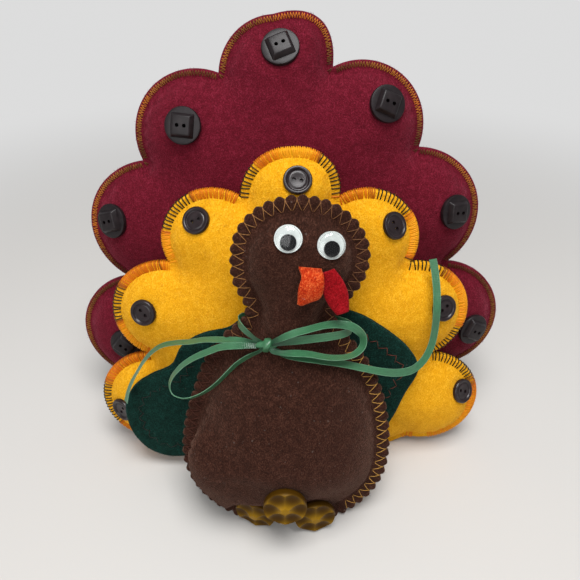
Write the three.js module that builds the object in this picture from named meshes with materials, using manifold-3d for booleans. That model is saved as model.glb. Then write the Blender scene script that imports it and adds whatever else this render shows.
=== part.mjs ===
// Felt turkey figure for a holiday table: stuffed felt shapes with buttons, eyes, feet and a ribbon.
// Units are millimetres. +Z is up, +X is the viewer's right and the figure faces -Y.
// The origin is on the table, under the middle of the figure.

import * as THREE from 'three';
import { mergeVertices } from 'three/addons/utils/BufferGeometryUtils.js';
import Module from 'manifold-3d';

const wasm = await Module();
wasm.setup();

// Cloth and clearances
const FELT = 1.5;
const SEAM_GAP = 0.3;
const GLUE_GAP = 0.3;
const FILL_GAP = 0.9;
const TABLE_PRESS = 0.5;

// Stance, angles in degrees
const TAIL_FOOT_Y = -6;
const TAIL_LEAN = 10;
const REAR_TAIL_ROLL = -2.8;
const BODY_LEAN = 17;
const BODY_ROLL = 3.85;
const BODY_FOOT_X = -4;

// Both tails: lobes between valleys on an ellipse, valley angles from the top in degrees
const LOBES = 7;
const VALLEY_ANGLES = [18, 52, 85, 118];
const TAIL_MARGIN = 3.5;
const TAIL_FULLNESS = 0.52;

// Front tail
const FRONT_TAIL_HALF_WIDTH = 65;
const FRONT_TAIL_HALF_HEIGHT = 85;
const FRONT_TAIL_CENTRE = 44;
const FRONT_TAIL_BASE = 50;
const FRONT_TAIL_BULGES = [0.98, 0.76, 0.86, 1.15];
const FRONT_TAIL_PUFF = 11.5;
const FRONT_TAIL_ROLL_OFF = 30;
const FRONT_TAIL_SHOULDER = 1.6;
const FRONT_BUTTON_INSETS = [9.4, 11.6, 8.2, 10.5, 9.4, 15.4, 10];
const FRONT_BUTTON_SLIDES = [-9.2, -2.5, 2, 3, 3, 2.4, 0];

// Rear tail
const REAR_TAIL_HALF_WIDTH = 77.5;
const REAR_TAIL_HALF_HEIGHT = 104;
const REAR_TAIL_CENTRE = 67.5;
const REAR_TAIL_BASE = 52;
const REAR_TAIL_BULGES = [0.88, 0.66, 0.71, 1.05];
const REAR_TAIL_SHOULDER = 4.6;
const REAR_TAIL_SHIFT = 2.1;
const REAR_TAIL_PUFF = 13.5;
const REAR_TAIL_ROLL_OFF = 32;
const REAR_BUTTON_INSETS = [15, 13.7, 13, 11.5, 20.4, 12.5, 24];
const REAR_BUTTON_SLIDES = [0, 1.4, 0, 2.6, 1.8, 1.4, 0];

// Body with neck and head, widths and heights along its own seam plane
const BODY_HALF_WIDTH = 42;
const BODY_CENTRE = 32;
const BODY_DROP = 36;
const BODY_RISE = 60;
const NECK_HALF_WIDTH = 14.5;
const NECK_HEIGHT = 92;
const HEAD_HALF_WIDTH = 24.5;
const HEAD_HALF_HEIGHT = 21.5;
const HEAD_CENTRE = 117.5;
const BELLY_FRONT = 23;
const BELLY_BACK = 10.5;
const BELLY_TUCK = 0.28;
const TUCK_HEIGHTS = [4, 36];
const NECK_FRONT = 9.5;
const NECK_BACK = 6.5;
const HEAD_FRONT = 11;
const HEAD_BACK = 11.5;
const BODY_MARGIN = 5;
const BELLY_FULLNESS = 0.62;
const HEAD_FULLNESS = 0.8;
const BODY_ROLL_OFF = 0.9;
const HEAD_ROLL_OFF = 0.62;
const SCALLOP_PITCH = 5.2;
const SCALLOP_HEIGHT = 1.7;

// Buttons
const SHIRT_BUTTON_RADIUS = 5.75;
const SHIRT_BUTTON_THICK = 2.2;
const SHIRT_BUTTON_RIM = 1.2;
const SHIRT_BUTTON_DISH = 0.7;
const SQUARE_BUTTON_RADIUS = 7.7;
const SQUARE_BUTTON_FOOT = 2.2;
const SQUARE_BUTTON_TOP = 7.6;
const SQUARE_BUTTON_RISE = 2.4;
const SQUARE_BUTTON_TAPER = 1.5;
const BUTTON_HOLE_RADIUS = 0.8;
const BUTTON_HOLE_SPACING = 3;
const FRONT_BUTTON_SPINS = [20, -35, 60, 10, -20, 45, -60];
const REAR_BUTTON_SPINS = [30, 5, 25, -20, 8, -12, 40];

// Googly eyes
const EYE_RADIUS = 5;
const EYE_PLATE = 0.8;
const EYE_WALL = 0.55;
const EYE_SIDE = 1.0;
const EYE_DOME = 2.6;
const PUPIL_RADIUS = 2.9;
const PUPIL_THICK = 0.6;
const PUPIL_SWING = 1.3;
const EYE_SPACING = 14.9;
const EYE_SHIFT = 2.5;
const EYE_RISES = [8.6, 7.1];
const EYE_FOLLOW = 0.4;

// Beak and wattle
const BEAK_WIDTH = 8.4;
const BEAK_DROP = 1;
const BEAK_FLAP = 3;
const BEAK_LENGTH = 13;
const BEAK_STAND_OFF = 4.5;
const BEAK_X = 3.5;
const WATTLE_WIDTH = 8.5;
const WATTLE_LENGTH = 17;
const WATTLE_DROP = 0.8;
const WATTLE_X = 13.1;
const WATTLE_TURN = 24;

// Feet
const FOOT_RADIUS = 8.6;
const FOOT_THICK = 4.6;
const FOOT_PETALS = 6;
const FOOT_SCOOP = 6.5;
const FOOT_SCOOP_DEPTH = 2;
const FOOT_SPREAD = 12.1;
const FOOT_X = -1.9;
const FOOT_LIFT = 0.6;
const FOOT_TOP_RISE = 18.2;
const FOOT_TILTS = [-8, 0, 5];
const FOOT_TURNS = [-18, 8, 0];

// Ribbon
const RIBBON_WIDTH = 3.2;
const RIBBON_THICK = 0.5;
const KNOT_RADIUS = 3.4;
const KNOT_X = -10.5;
const KNOT_DROP = 5.4;
const BAND_DROP = 2;
const BAND_STEPS = 28;

// Ribbon routes as steps right, back and up from the middle of the knot
const LEFT_LOOP_ROUTE = [
  [-3.7, 0.2, -0.8], [-7.5, 0.6, -0.9], [-11.3, 1.3, -1.5], [-15, 2, -2.3], [-18.5, 2.8, -3.7],
  [-21.6, 3.5, -5.7], [-24.8, 4.1, -7.8], [-28, 4.6, -9.9], [-31.1, 4.8, -12.2], [-34, 4.9, -14.7],
  [-36.6, 4.7, -17.6], [-38.8, 4.3, -20.7], [-40.1, 3.1, -24.1], [-39, 1.2, -27], [-35.6, -0.4, -27.6],
  [-32, -1.5, -26.6], [-28.7, -2.1, -24.8], [-25.5, -2.4, -22.6], [-22.5, -2.3, -20.2],
  [-19.8, -2.2, -17.5], [-17.3, -2.1, -14.6], [-14.7, -1.5, -11.7], [-12.2, -1.4, -8.7],
  [-9.3, -1.7, -5.8], [-6.2, -2.1, -3.2], [-2.8, -2.4, -1.1],
];
const RIGHT_LOOP_ROUTE = [
  [2.9, -1, 2.7], [4.8, -2.8, 5.1], [7.8, -3.5, 7.3], [11.3, -3.3, 8.7], [15, -2.4, 9.2],
  [18.4, -0.7, 9], [21.7, 1, 8.6], [25.1, 2.6, 7.8], [28.6, 3.7, 6.8], [32, 4.5, 5.3], [35, 4.8, 2.9],
  [37, 4.7, -0.3], [36.8, 3.4, -3.7], [34.2, 1.2, -5.3], [30.9, -0.8, -5.2], [27.5, -2.3, -4.4],
  [24, -3.4, -3.4], [20.5, -4.1, -2.2], [16.9, -4.4, -1], [13.3, -5.1, 0.1], [9.6, -5.6, 0.7],
  [5.9, -4.9, 0.2], [2.4, -3.4, -0.5],
];
const RIGHT_TAIL_ROUTE = [
  [3.6, -1.2, -1.6], [6.9, -3.4, -1.9], [13.6, -3.9, -3], [20.9, -2.7, -5.5], [28.8, -0.9, -8.7],
  [36.9, 0.8, -12.4], [45.4, 3.3, -16.8], [52.5, 7.3, -21.1], [58.5, 11.4, -23.9], [63.2, 15.9, -25.2],
  [66.6, 19, -23.5], [69.2, 22, -19.3], [70.1, 23.8, -12], [69.6, 24.6, -1.9], [69.5, 29, 5],
  [68.8, 33.3, 11.1], [67.9, 36.4, 15.5],
];
const LEFT_TAIL_ROUTE = [
  [-3.1, 1.9, -1.2], [-10.5, 5, -2.2], [-17.8, 7.4, -3.7], [-25.1, 10.5, -6.3], [-31.7, 13, -9.5],
  [-38.8, 16.4, -12.9], [-45, 18.5, -16.2], [-49.8, 19.1, -20.2], [-53.6, 18.1, -24.4],
  [-56.4, 16.2, -28.4], [-59.2, 14, -32.8], [-61, 12.1, -36.8], [-62.2, 10.3, -41.1],
];

// Wing outlines seen from the front, in the plane of the tails
const LEFT_WING_POINTS = [
  [-14, 78], [-26, 73], [-38, 69], [-47, 62.5], [-52, 53.5], [-61, 48.8], [-69, 43], [-73.5, 35],
  [-74, 25], [-71, 15], [-64, 7], [-52, 4], [-30, 10], [-12, 40],
];
const RIGHT_WING_POINTS = [
  [12, 45], [24, 16], [39, 15], [46, 25], [51, 39], [56, 52], [51.5, 61.5], [42, 70.3], [30, 78.4],
  [22, 80.8], [14, 78],
];
const WING_STEPS = 40;

// Facet counts
const LOBE_STEPS = 8;
const BASE_STEPS = 4;
const SCALLOP_STEPS = 3;
const OUTLINE_SAMPLES = 400;
const ROUND_STEPS = 16;
const HOLE_STEPS = 6;
const DOME_STEPS = 4;
const PANEL_RINGS = [0.15, 0.4, 0.7];
const LINING_RING = 0.4;
const STUFFING_RIM = 0.35;
const STRIP_STEP = 2.5;
const RUN_UP = 80;

// Colours and finishes
const BURGUNDY = { color: 0x6b0f22, roughness: 0.95 };
const YELLOW = { color: 0xf2a916, roughness: 0.95 };
const BROWN = { color: 0x3d211c, roughness: 0.95 };
const GREEN = { color: 0x0d2f2b, roughness: 0.95 };
const ORANGE = { color: 0xef5a1c, roughness: 0.95 };
const RED = { color: 0xb30f1c, roughness: 0.95 };
const FILLING = { color: 0xf1efe8, roughness: 1 };
const SHIRT_BUTTON = { color: 0x33201f, roughness: 0.35 };
const SQUARE_BUTTON = { color: 0x37302e, roughness: 0.4 };
const EYE_WHITE = { color: 0xf0f3f2, roughness: 0.4 };
const EYE_BLACK = { color: 0x0b0b0c, roughness: 0.5 };
const CLEAR = { color: 0xffffff, roughness: 0.05, transparent: true, opacity: 0.25 };
const AMBER = { color: 0x8a6a1c, roughness: 0.2 };
const SATIN = { color: 0x3f7f5f, roughness: 0.4 };

const FRONT = -1;
const BACK = 1;
const rad = THREE.MathUtils.degToRad;

function piece(name, geometry, finish) {
  const mesh = new THREE.Mesh(geometry, new THREE.MeshStandardMaterial({ metalness: 0, ...finish }));
  mesh.name = name;
  return mesh;
}

// A mesh under construction: loops of points joined by bands of triangles
class Facets {
  constructor() {
    this.position = [];
    this.index = [];
  }

  loop(points) {
    return points.map((point) => {
      this.position.push(point.x, point.y, point.z);
      return this.position.length / 3 - 1;
    });
  }

  face(...corners) {
    this.index.push(...corners);
  }

  band(from, to) {
    from.forEach((_, i) => {
      const next = (i + 1) % from.length;
      this.face(from[i], from[next], to[next]);
      this.face(from[i], to[next], to[i]);
    });
  }

  // Joins a plain loop to one that has several points for each of its own
  fringe(plain, fine, outward) {
    const share = fine.length / plain.length;
    const half = Math.floor(share / 2);
    const add = (a, b, c) => (outward ? this.face(a, b, c) : this.face(a, c, b));
    plain.forEach((_, i) => {
      const here = plain[i];
      const next = plain[(i + 1) % plain.length];
      const at = (k) => fine[(i * share + k) % fine.length];
      for (let k = 0; k < half; k += 1) add(here, at(k), at(k + 1));
      add(here, at(half), next);
      for (let k = half; k < share; k += 1) add(next, at(k), at(k + 1));
    });
  }

  // A closed solid: merged points, no collapsed triangles, faces outward
  solid() {
    const raw = new THREE.BufferGeometry();
    raw.setAttribute('position', new THREE.Float32BufferAttribute(this.position, 3));
    raw.setIndex(this.index);
    const merged = mergeVertices(raw, 1e-3);
    const points = merged.attributes.position;
    const kept = [];
    let volume = 0;
    const [a, b, c] = [new THREE.Vector3(), new THREE.Vector3(), new THREE.Vector3()];
    for (let i = 0; i < merged.index.count; i += 3) {
      const corners = [merged.index.getX(i), merged.index.getX(i + 1), merged.index.getX(i + 2)];
      if (new Set(corners).size < 3) continue;
      kept.push(corners);
      a.fromBufferAttribute(points, corners[0]);
      b.fromBufferAttribute(points, corners[1]);
      c.fromBufferAttribute(points, corners[2]);
      volume += a.dot(b.cross(c));
    }
    merged.setIndex((volume < 0 ? kept.map((corners) => corners.reverse()) : kept).flat());
    return merged;
  }
}

function toSolid(geometry) {
  const bare = geometry.clone();
  bare.deleteAttribute('normal');
  bare.deleteAttribute('uv');
  const merged = mergeVertices(bare, 1e-4);
  const mesh = new wasm.Mesh({
    numProp: 3,
    vertProperties: new Float32Array(merged.attributes.position.array),
    triVerts: new Uint32Array(merged.index.array),
  });
  return new wasm.Manifold(mesh);
}

function fromSolid(solid) {
  const mesh = solid.getMesh();
  const geometry = new THREE.BufferGeometry();
  geometry.setAttribute('position', new THREE.Float32BufferAttribute(mesh.vertProperties, 3));
  geometry.setIndex(Array.from(mesh.triVerts));
  return geometry;
}

function cut(geometry, ...tools) {
  return fromSolid(tools.reduce((solid, tool) => solid.subtract(toSolid(tool)), toSolid(geometry)));
}

// Takes off what would lie below the table top
function restOnTable(geometry, placement) {
  const reach = 4 * REAR_TAIL_HALF_HEIGHT;
  const table = new THREE.BoxGeometry(reach, reach, reach);
  table.translate(0, 0, -reach / 2);
  table.applyMatrix4(placement.clone().invert());
  return cut(geometry, table);
}

// Points of the arc that bulges outward from one valley to the next, without the last; its first half
// can have a fuller shoulder
function lobeArc(from, to, bulge, shoulder) {
  const chord = to.clone().sub(from);
  const half = chord.length() / 2;
  const outward = new THREE.Vector2(chord.y, -chord.x).normalize();
  const fuller = new THREE.Vector2(outward.x + outward.y, outward.y - outward.x).normalize();
  const sagitta = bulge * half;
  const radius = (half * half + sagitta * sagitta) / (2 * sagitta);
  const centre = from.clone().add(to).multiplyScalar(0.5).addScaledVector(outward, sagitta - radius);
  const sweep = 2 * Math.atan(bulge);
  const points = [];
  for (let k = 0; k < LOBE_STEPS; k += 1) {
    const turn = sweep * ((2 * k) / LOBE_STEPS - 1);
    const spoke = outward.clone().rotateAround(new THREE.Vector2(), turn).multiplyScalar(radius);
    const extra = turn < 0 ? shoulder * Math.sin((-Math.PI * turn) / sweep) : 0;
    points.push(spoke.add(centre).addScaledVector(fuller, extra));
  }
  return points;
}

// Closed outline of a tail, from its right foot over the top to its left foot and back
function tailOutline(tail) {
  const angles = [...VALLEY_ANGLES.slice().reverse(), ...VALLEY_ANGLES.map((angle) => -angle)];
  const valleys = angles.map((angle) => new THREE.Vector2(
    tail.halfWidth * Math.sin(rad(angle)),
    tail.centre + tail.halfHeight * Math.cos(rad(angle)),
  ));
  const outline = [];
  const tips = [];
  for (let k = 0; k < LOBES; k += 1) {
    const bulge = tail.bulges[Math.abs(k - (LOBES - 1) / 2)];
    const chord = valleys[k + 1].clone().sub(valleys[k]);
    const outward = new THREE.Vector2(chord.y, -chord.x).normalize();
    const middle = valleys[k].clone().addScaledVector(chord, 0.5);
    const shoulder = k === (LOBES - 1) / 2 ? tail.shoulder : 0;
    outline.push(...lobeArc(valleys[k], valleys[k + 1], bulge, shoulder));
    tips.push({ tip: middle.addScaledVector(outward, (bulge * chord.length()) / 2), outward });
  }
  outline.push(valleys[LOBES]);
  for (let k = 0; k <= BASE_STEPS; k += 1) {
    outline.push(new THREE.Vector2(tail.base * ((2 * k) / BASE_STEPS - 1), 0));
  }
  return { outline, tips };
}

// Half ellipse of the given height on either side of its centre
function halfEllipse(height, centre, drop, rise, width) {
  const share = height < centre ? (centre - height) / drop : (height - centre) / rise;
  return share < 1 ? width * Math.sqrt(1 - share * share) : 0;
}

// Half width of the body's outline: body, neck and head flow into each other
function bodyHalfWidth(height) {
  const body = halfEllipse(height, BODY_CENTRE, BODY_DROP, BODY_RISE, BODY_HALF_WIDTH);
  const head = halfEllipse(height, HEAD_CENTRE, HEAD_HALF_HEIGHT, HEAD_HALF_HEIGHT, HEAD_HALF_WIDTH);
  const along = THREE.MathUtils.clamp(height, BODY_CENTRE, HEAD_CENTRE);
  const drop = height < BODY_CENTRE ? BODY_DROP : HEAD_HALF_HEIGHT;
  const neck = halfEllipse(height, along, drop, drop, NECK_HALF_WIDTH);
  return (body ** 4 + head ** 4 + neck ** 4) ** 0.25;
}

// Evenly spaced outline of body, neck and head, one point for each scallop
function bodyOutline() {
  const low = BODY_CENTRE - BODY_DROP;
  const high = HEAD_CENTRE + HEAD_HALF_HEIGHT;
  const side = [];
  for (let k = 0; k <= OUTLINE_SAMPLES; k += 1) {
    const height = low + (high - low) * 0.5 * (1 - Math.cos((Math.PI * k) / OUTLINE_SAMPLES));
    side.push(new THREE.Vector2(bodyHalfWidth(height), height));
  }
  const other = side.slice(1, -1).reverse().map((point) => new THREE.Vector2(-point.x, point.y));
  const curve = new THREE.SplineCurve([...side, ...other, side[0]]);
  curve.arcLengthDivisions = 4 * OUTLINE_SAMPLES;
  const scallops = 2 * Math.round(curve.getLength() / SCALLOP_PITCH / 2);
  return curve.getSpacedPoints(scallops).slice(0, -1);
}

function inwardNormals(loop) {
  return loop.map((point, i) => {
    const before = loop[(i + loop.length - 1) % loop.length];
    const after = loop[(i + 1) % loop.length];
    const arrive = point.clone().sub(before).normalize();
    const leave = after.clone().sub(point).normalize();
    return new THREE.Vector2(-arrive.y - leave.y, arrive.x + leave.x).normalize();
  });
}

function distanceToLoop(point, loop) {
  let least = Infinity;
  loop.forEach((start, i) => {
    const run = loop[(i + 1) % loop.length].clone().sub(start);
    const share = THREE.MathUtils.clamp(point.clone().sub(start).dot(run) / run.lengthSq(), 0, 1);
    least = Math.min(least, point.distanceTo(start.clone().addScaledVector(run, share)));
  });
  return least;
}

function isInside(point, loop) {
  let inside = false;
  loop.forEach((a, i) => {
    const b = loop[(i + 1) % loop.length];
    const crosses = a.y > point.y !== b.y > point.y;
    if (crosses && point.x < a.x + ((point.y - a.y) / (b.y - a.y)) * (b.x - a.x)) inside = !inside;
  });
  return inside;
}

// A stuffed shape: two felt panels sewn along a seam inside their edge, swollen by the stuffing
class StuffedShape {
  constructor({ outline, margin, core, depth, reach, fullness, scallop }) {
    const inward = inwardNormals(outline);
    this.seam = outline.map((point, i) => point.clone().addScaledVector(inward[i], margin));
    this.core = this.seam.map(core);
    this.depth = depth;
    this.reach = reach;
    this.fullness = fullness;
    this.edge = [];
    outline.forEach((point, i) => {
      const next = outline[(i + 1) % outline.length];
      const outward = new THREE.Vector2(next.y - point.y, point.x - next.x).normalize();
      const steps = scallop ? SCALLOP_STEPS : 1;
      for (let k = 0; k < steps; k += 1) {
        const bump = scallop * Math.sin((Math.PI * k) / steps);
        this.edge.push(point.clone().lerp(next, k / steps).addScaledVector(outward, bump));
      }
    });
    this.front = this.panel(FRONT);
    this.back = this.panel(BACK);
  }

  // Swell of one side above its flat margin, for a sheet that lies a given depth inside the felt
  swell(side, point, inset = 0) {
    if (!isInside(point, this.seam)) return 0;
    const run = (distanceToLoop(point, this.seam) - inset) / (this.reach(point.y) - inset);
    const share = THREE.MathUtils.clamp(run, 0, 1);
    return this.depth(side, point.y) * (1 - (1 - share) ** 2) ** this.fullness(point.y);
  }

  // Height of the outer surface over the seam plane
  surface(side, point) {
    return SEAM_GAP / 2 + FELT + this.swell(side, point);
  }

  // Unit vector that points away from the outer surface under a piece of a given radius
  normal(side, point, step) {
    const slope = (x, y) => {
      const ahead = this.swell(side, new THREE.Vector2(point.x + x, point.y + y));
      const behind = this.swell(side, new THREE.Vector2(point.x - x, point.y - y));
      return (ahead - behind) / (2 * step);
    };
    return new THREE.Vector3(-slope(step, 0), side, -slope(0, step)).normalize();
  }

  ring(share) {
    return this.seam.map((point, i) => point.clone().lerp(this.core[i], share));
  }

  panel(side) {
    const facets = new Facets();
    const flat = (loop, height) => loop.map((p) => new THREE.Vector3(p.x, side * height, p.y));
    const raised = (share, inset, base) => this.ring(share).map((p) => (
      new THREE.Vector3(p.x, side * (base + this.swell(side, p, inset)), p.y)
    ));
    const inner = SEAM_GAP / 2;
    const outer = inner + FELT;
    const lining = [1, LINING_RING].map((share) => facets.loop(raised(share, FELT, inner)));
    lining.push(facets.loop(flat(this.seam, inner)));
    const innerEdge = facets.loop(flat(this.edge, inner));
    const outerEdge = facets.loop(flat(this.edge, outer));
    const face = [facets.loop(flat(this.seam, outer))];
    face.push(...[...PANEL_RINGS, 1].map((share) => facets.loop(raised(share, 0, outer))));
    for (let k = 1; k < lining.length; k += 1) facets.band(lining[k - 1], lining[k]);
    facets.fringe(lining.at(-1), innerEdge, false);
    facets.band(innerEdge, outerEdge);
    facets.fringe(face[0], outerEdge, true);
    for (let k = 1; k < face.length; k += 1) facets.band(face[k - 1], face[k]);
    return facets.solid();
  }

  stuffing() {
    const facets = new Facets();
    const raised = (side, share) => this.ring(share).map((p) => {
      const height = SEAM_GAP / 2 + this.swell(side, p, FELT) - FILL_GAP;
      return new THREE.Vector3(p.x, side * height, p.y);
    });
    const rim = this.ring(STUFFING_RIM * LINING_RING).map((p) => new THREE.Vector3(p.x, 0, p.y));
    const loops = [
      raised(FRONT, 1), raised(FRONT, LINING_RING), rim, raised(BACK, LINING_RING), raised(BACK, 1),
    ].map((loop) => facets.loop(loop));
    for (let k = 1; k < loops.length; k += 1) facets.band(loops[k - 1], loops[k]);
    return facets.solid();
  }
}

// A sheet of even thickness over a grid of points, given row by row
function sheet(rows, thickness) {
  const wide = rows[0].length;
  const deep = rows.length;
  const facets = new Facets();
  const normals = rows.map((row, r) => row.map((_, c) => {
    const along = rows[Math.min(r + 1, deep - 1)][c].clone().sub(rows[Math.max(r - 1, 0)][c]);
    const across = row[Math.min(c + 1, wide - 1)].clone().sub(row[Math.max(c - 1, 0)]);
    return along.cross(across).normalize();
  }));
  const skin = (offset) => rows.map((row, r) => (
    facets.loop(row.map((point, c) => point.clone().addScaledVector(normals[r][c], offset)))
  ));
  const top = skin(thickness / 2);
  const under = skin(-thickness / 2);
  for (let r = 1; r < deep; r += 1) {
    for (let c = 1; c < wide; c += 1) {
      facets.face(top[r - 1][c - 1], top[r][c - 1], top[r][c]);
      facets.face(top[r - 1][c - 1], top[r][c], top[r - 1][c]);
      facets.face(under[r - 1][c - 1], under[r][c], under[r][c - 1]);
      facets.face(under[r - 1][c - 1], under[r - 1][c], under[r][c]);
    }
    facets.face(top[r - 1][0], under[r - 1][0], under[r][0]);
    facets.face(top[r - 1][0], under[r][0], top[r][0]);
    facets.face(top[r - 1][wide - 1], under[r][wide - 1], under[r - 1][wide - 1]);
    facets.face(top[r - 1][wide - 1], top[r][wide - 1], under[r][wide - 1]);
  }
  for (let c = 1; c < wide; c += 1) {
    facets.face(top[0][c - 1], under[0][c], under[0][c - 1]);
    facets.face(top[0][c - 1], top[0][c], under[0][c]);
    facets.face(top[deep - 1][c - 1], under[deep - 1][c - 1], under[deep - 1][c]);
    facets.face(top[deep - 1][c - 1], under[deep - 1][c], top[deep - 1][c]);
  }
  return facets.solid();
}

// How far a piece slides along a direction until only the glue gap is left to the pieces ahead
function slideLength(moving, still, direction) {
  const ray = new THREE.Raycaster();
  const material = new THREE.MeshBasicMaterial({ side: THREE.DoubleSide });
  const vertex = new THREE.Vector3();
  let least = Infinity;
  const probe = (from, onto, heading) => {
    const target = new THREE.Mesh(onto, material);
    const points = from.attributes.position;
    for (let i = 0; i < points.count; i += 1) {
      vertex.fromBufferAttribute(points, i).addScaledVector(heading, -RUN_UP);
      ray.set(vertex, heading);
      const hits = ray.intersectObject(target);
      if (hits.length > 0) least = Math.min(least, hits[0].distance - RUN_UP);
    }
  };
  still.forEach((other) => {
    probe(moving, other, direction);
    probe(other, moving, direction.clone().negate());
  });
  return least - GLUE_GAP;
}

// Pushes a piece back until it lies on the front of a stuffed shape
function seatOnFront(geometry, shape) {
  const back = new THREE.Vector3(0, 1, 0);
  return geometry.translate(0, slideLength(geometry, [shape.front], back), 0);
}

// Sets a glued-on piece on a point of a shape's front; it follows a share of the slope there
function placeOnFront(object, foot, shape, point, { spin = 0, follow = 1 }) {
  foot.computeBoundingSphere();
  const away = shape.normal(FRONT, point, foot.boundingSphere.radius);
  away.lerp(new THREE.Vector3(0, FRONT, 0), 1 - follow).normalize();
  object.quaternion.setFromUnitVectors(new THREE.Vector3(0, -1, 0), away);
  object.rotateY(rad(spin));
  object.position.set(point.x, -shape.surface(FRONT, point), point.y);
  object.updateMatrix();
  const placed = foot.clone().applyMatrix4(object.matrix);
  const inward = away.clone().negate();
  object.position.addScaledVector(inward, slideLength(placed, [shape.front], inward));
  return object;
}

// Round solid from a profile of radius and height, facing -Y with its foot at zero
function turned(profile, steps) {
  const points = profile.map(([radius, height]) => new THREE.Vector2(radius, height));
  return new THREE.LatheGeometry(points, steps).rotateX(Math.PI);
}

function buttonHoles(height) {
  return [-1, 1].map((end) => {
    const hole = new THREE.CylinderGeometry(BUTTON_HOLE_RADIUS, BUTTON_HOLE_RADIUS, 4 * height, HOLE_STEPS);
    return hole.translate((end * BUTTON_HOLE_SPACING) / 2, 0, 0);
  });
}

// Dished round button with a raised rim and two holes
function shirtButton() {
  const chamfer = SHIRT_BUTTON_DISH / 2;
  const floor = SHIRT_BUTTON_THICK - SHIRT_BUTTON_DISH;
  const body = turned([
    [0, 0],
    [SHIRT_BUTTON_RADIUS - chamfer, 0],
    [SHIRT_BUTTON_RADIUS, chamfer],
    [SHIRT_BUTTON_RADIUS, SHIRT_BUTTON_THICK - chamfer],
    [SHIRT_BUTTON_RADIUS - chamfer, SHIRT_BUTTON_THICK],
    [SHIRT_BUTTON_RADIUS - SHIRT_BUTTON_RIM, SHIRT_BUTTON_THICK],
    [SHIRT_BUTTON_RADIUS - SHIRT_BUTTON_RIM - SHIRT_BUTTON_DISH, floor],
    [0, floor],
  ], ROUND_STEPS);
  return cut(body, ...buttonHoles(SHIRT_BUTTON_THICK));
}

// Round button that carries a square block with sloping sides and two holes
function squareButton() {
  const chamfer = SQUARE_BUTTON_FOOT / 4;
  const foot = turned([
    [0, 0],
    [SQUARE_BUTTON_RADIUS - chamfer, 0],
    [SQUARE_BUTTON_RADIUS, chamfer],
    [SQUARE_BUTTON_RADIUS, SQUARE_BUTTON_FOOT - chamfer],
    [SQUARE_BUTTON_RADIUS - chamfer, SQUARE_BUTTON_FOOT],
    [0, SQUARE_BUTTON_FOOT],
  ], ROUND_STEPS);
  const sunk = SQUARE_BUTTON_FOOT / 2;
  const rise = SQUARE_BUTTON_RISE + sunk;
  const low = (SQUARE_BUTTON_TOP / 2 + SQUARE_BUTTON_TAPER) * Math.SQRT2;
  const block = new THREE.CylinderGeometry((SQUARE_BUTTON_TOP / 2) * Math.SQRT2, low, rise, 4);
  block.rotateY(Math.PI / 4);
  block.translate(0, SQUARE_BUTTON_FOOT - sunk + rise / 2, 0);
  block.rotateX(Math.PI);
  const whole = fromSolid(toSolid(foot).add(toSolid(block)));
  return cut(whole, ...buttonHoles(SQUARE_BUTTON_FOOT + SQUARE_BUTTON_RISE));
}

// Glues one button on each lobe of a tail, a given way in from the tip of the lobe and to its right
function addButtons(tailGroup, { shape, tips }, { prefix, geometry, finish, insets, slides, spins }) {
  tips.forEach(({ tip, outward }, k) => {
    const right = new THREE.Vector2(outward.y, -outward.x);
    const point = tip.clone().addScaledVector(outward, -insets[k]).addScaledVector(right, slides[k]);
    const button = piece(`${prefix}_button_${k + 1}`, geometry.clone(), finish);
    tailGroup.add(placeOnFront(button, geometry, shape, point, { spin: spins[k] }));
  });
}

function tailShape(tail) {
  const { outline, tips } = tailOutline(tail);
  const centre = new THREE.Vector2(0, tail.centre);
  const shape = new StuffedShape({
    outline,
    margin: TAIL_MARGIN,
    core: () => centre,
    depth: () => tail.puff,
    reach: () => tail.rollOff,
    fullness: () => TAIL_FULLNESS,
    scallop: 0,
  });
  return { shape, tips };
}

// Two felt panels and their stuffing, with the seam pressed flat on the table
function addStuffed(group, shape, prefix, finish) {
  const placement = group.matrixWorld;
  group.add(piece(`${prefix}_front_felt`, restOnTable(shape.front, placement), finish));
  group.add(piece(`${prefix}_back_felt`, restOnTable(shape.back, placement), finish));
  group.add(piece(`${prefix}_stuffing`, shape.stuffing(), FILLING));
}

// Depth of the body's swell at a height, from the tucked foot over belly and neck to the head
function bodyDepth(side, height) {
  const tuck = BELLY_TUCK + (1 - BELLY_TUCK) * THREE.MathUtils.smoothstep(height, ...TUCK_HEIGHTS);
  const [belly, neck, head] = side === FRONT
    ? [BELLY_FRONT * tuck, NECK_FRONT, HEAD_FRONT]
    : [BELLY_BACK, NECK_BACK, HEAD_BACK];
  const toNeck = THREE.MathUtils.smoothstep(height, BODY_CENTRE, NECK_HEIGHT);
  const toHead = THREE.MathUtils.smoothstep(height, NECK_HEIGHT, HEAD_CENTRE);
  return belly + (neck - belly) * toNeck + (head - neck) * toHead;
}

function bodyShape() {
  const onSpine = (height) => THREE.MathUtils.clamp(height, BODY_CENTRE, HEAD_CENTRE);
  return new StuffedShape({
    outline: bodyOutline(),
    margin: BODY_MARGIN,
    core: (point) => new THREE.Vector2(0, onSpine(point.y)),
    depth: bodyDepth,
    reach: (height) => {
      const upward = THREE.MathUtils.smoothstep(height, NECK_HEIGHT, HEAD_CENTRE);
      const share = BODY_ROLL_OFF + (HEAD_ROLL_OFF - BODY_ROLL_OFF) * upward;
      return share * (bodyHalfWidth(onSpine(height)) - BODY_MARGIN);
    },
    fullness: (height) => {
      const upward = THREE.MathUtils.smoothstep(height, BODY_CENTRE, NECK_HEIGHT);
      return BELLY_FULLNESS + (HEAD_FULLNESS - BELLY_FULLNESS) * upward;
    },
    scallop: SCALLOP_HEIGHT,
  });
}

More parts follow.
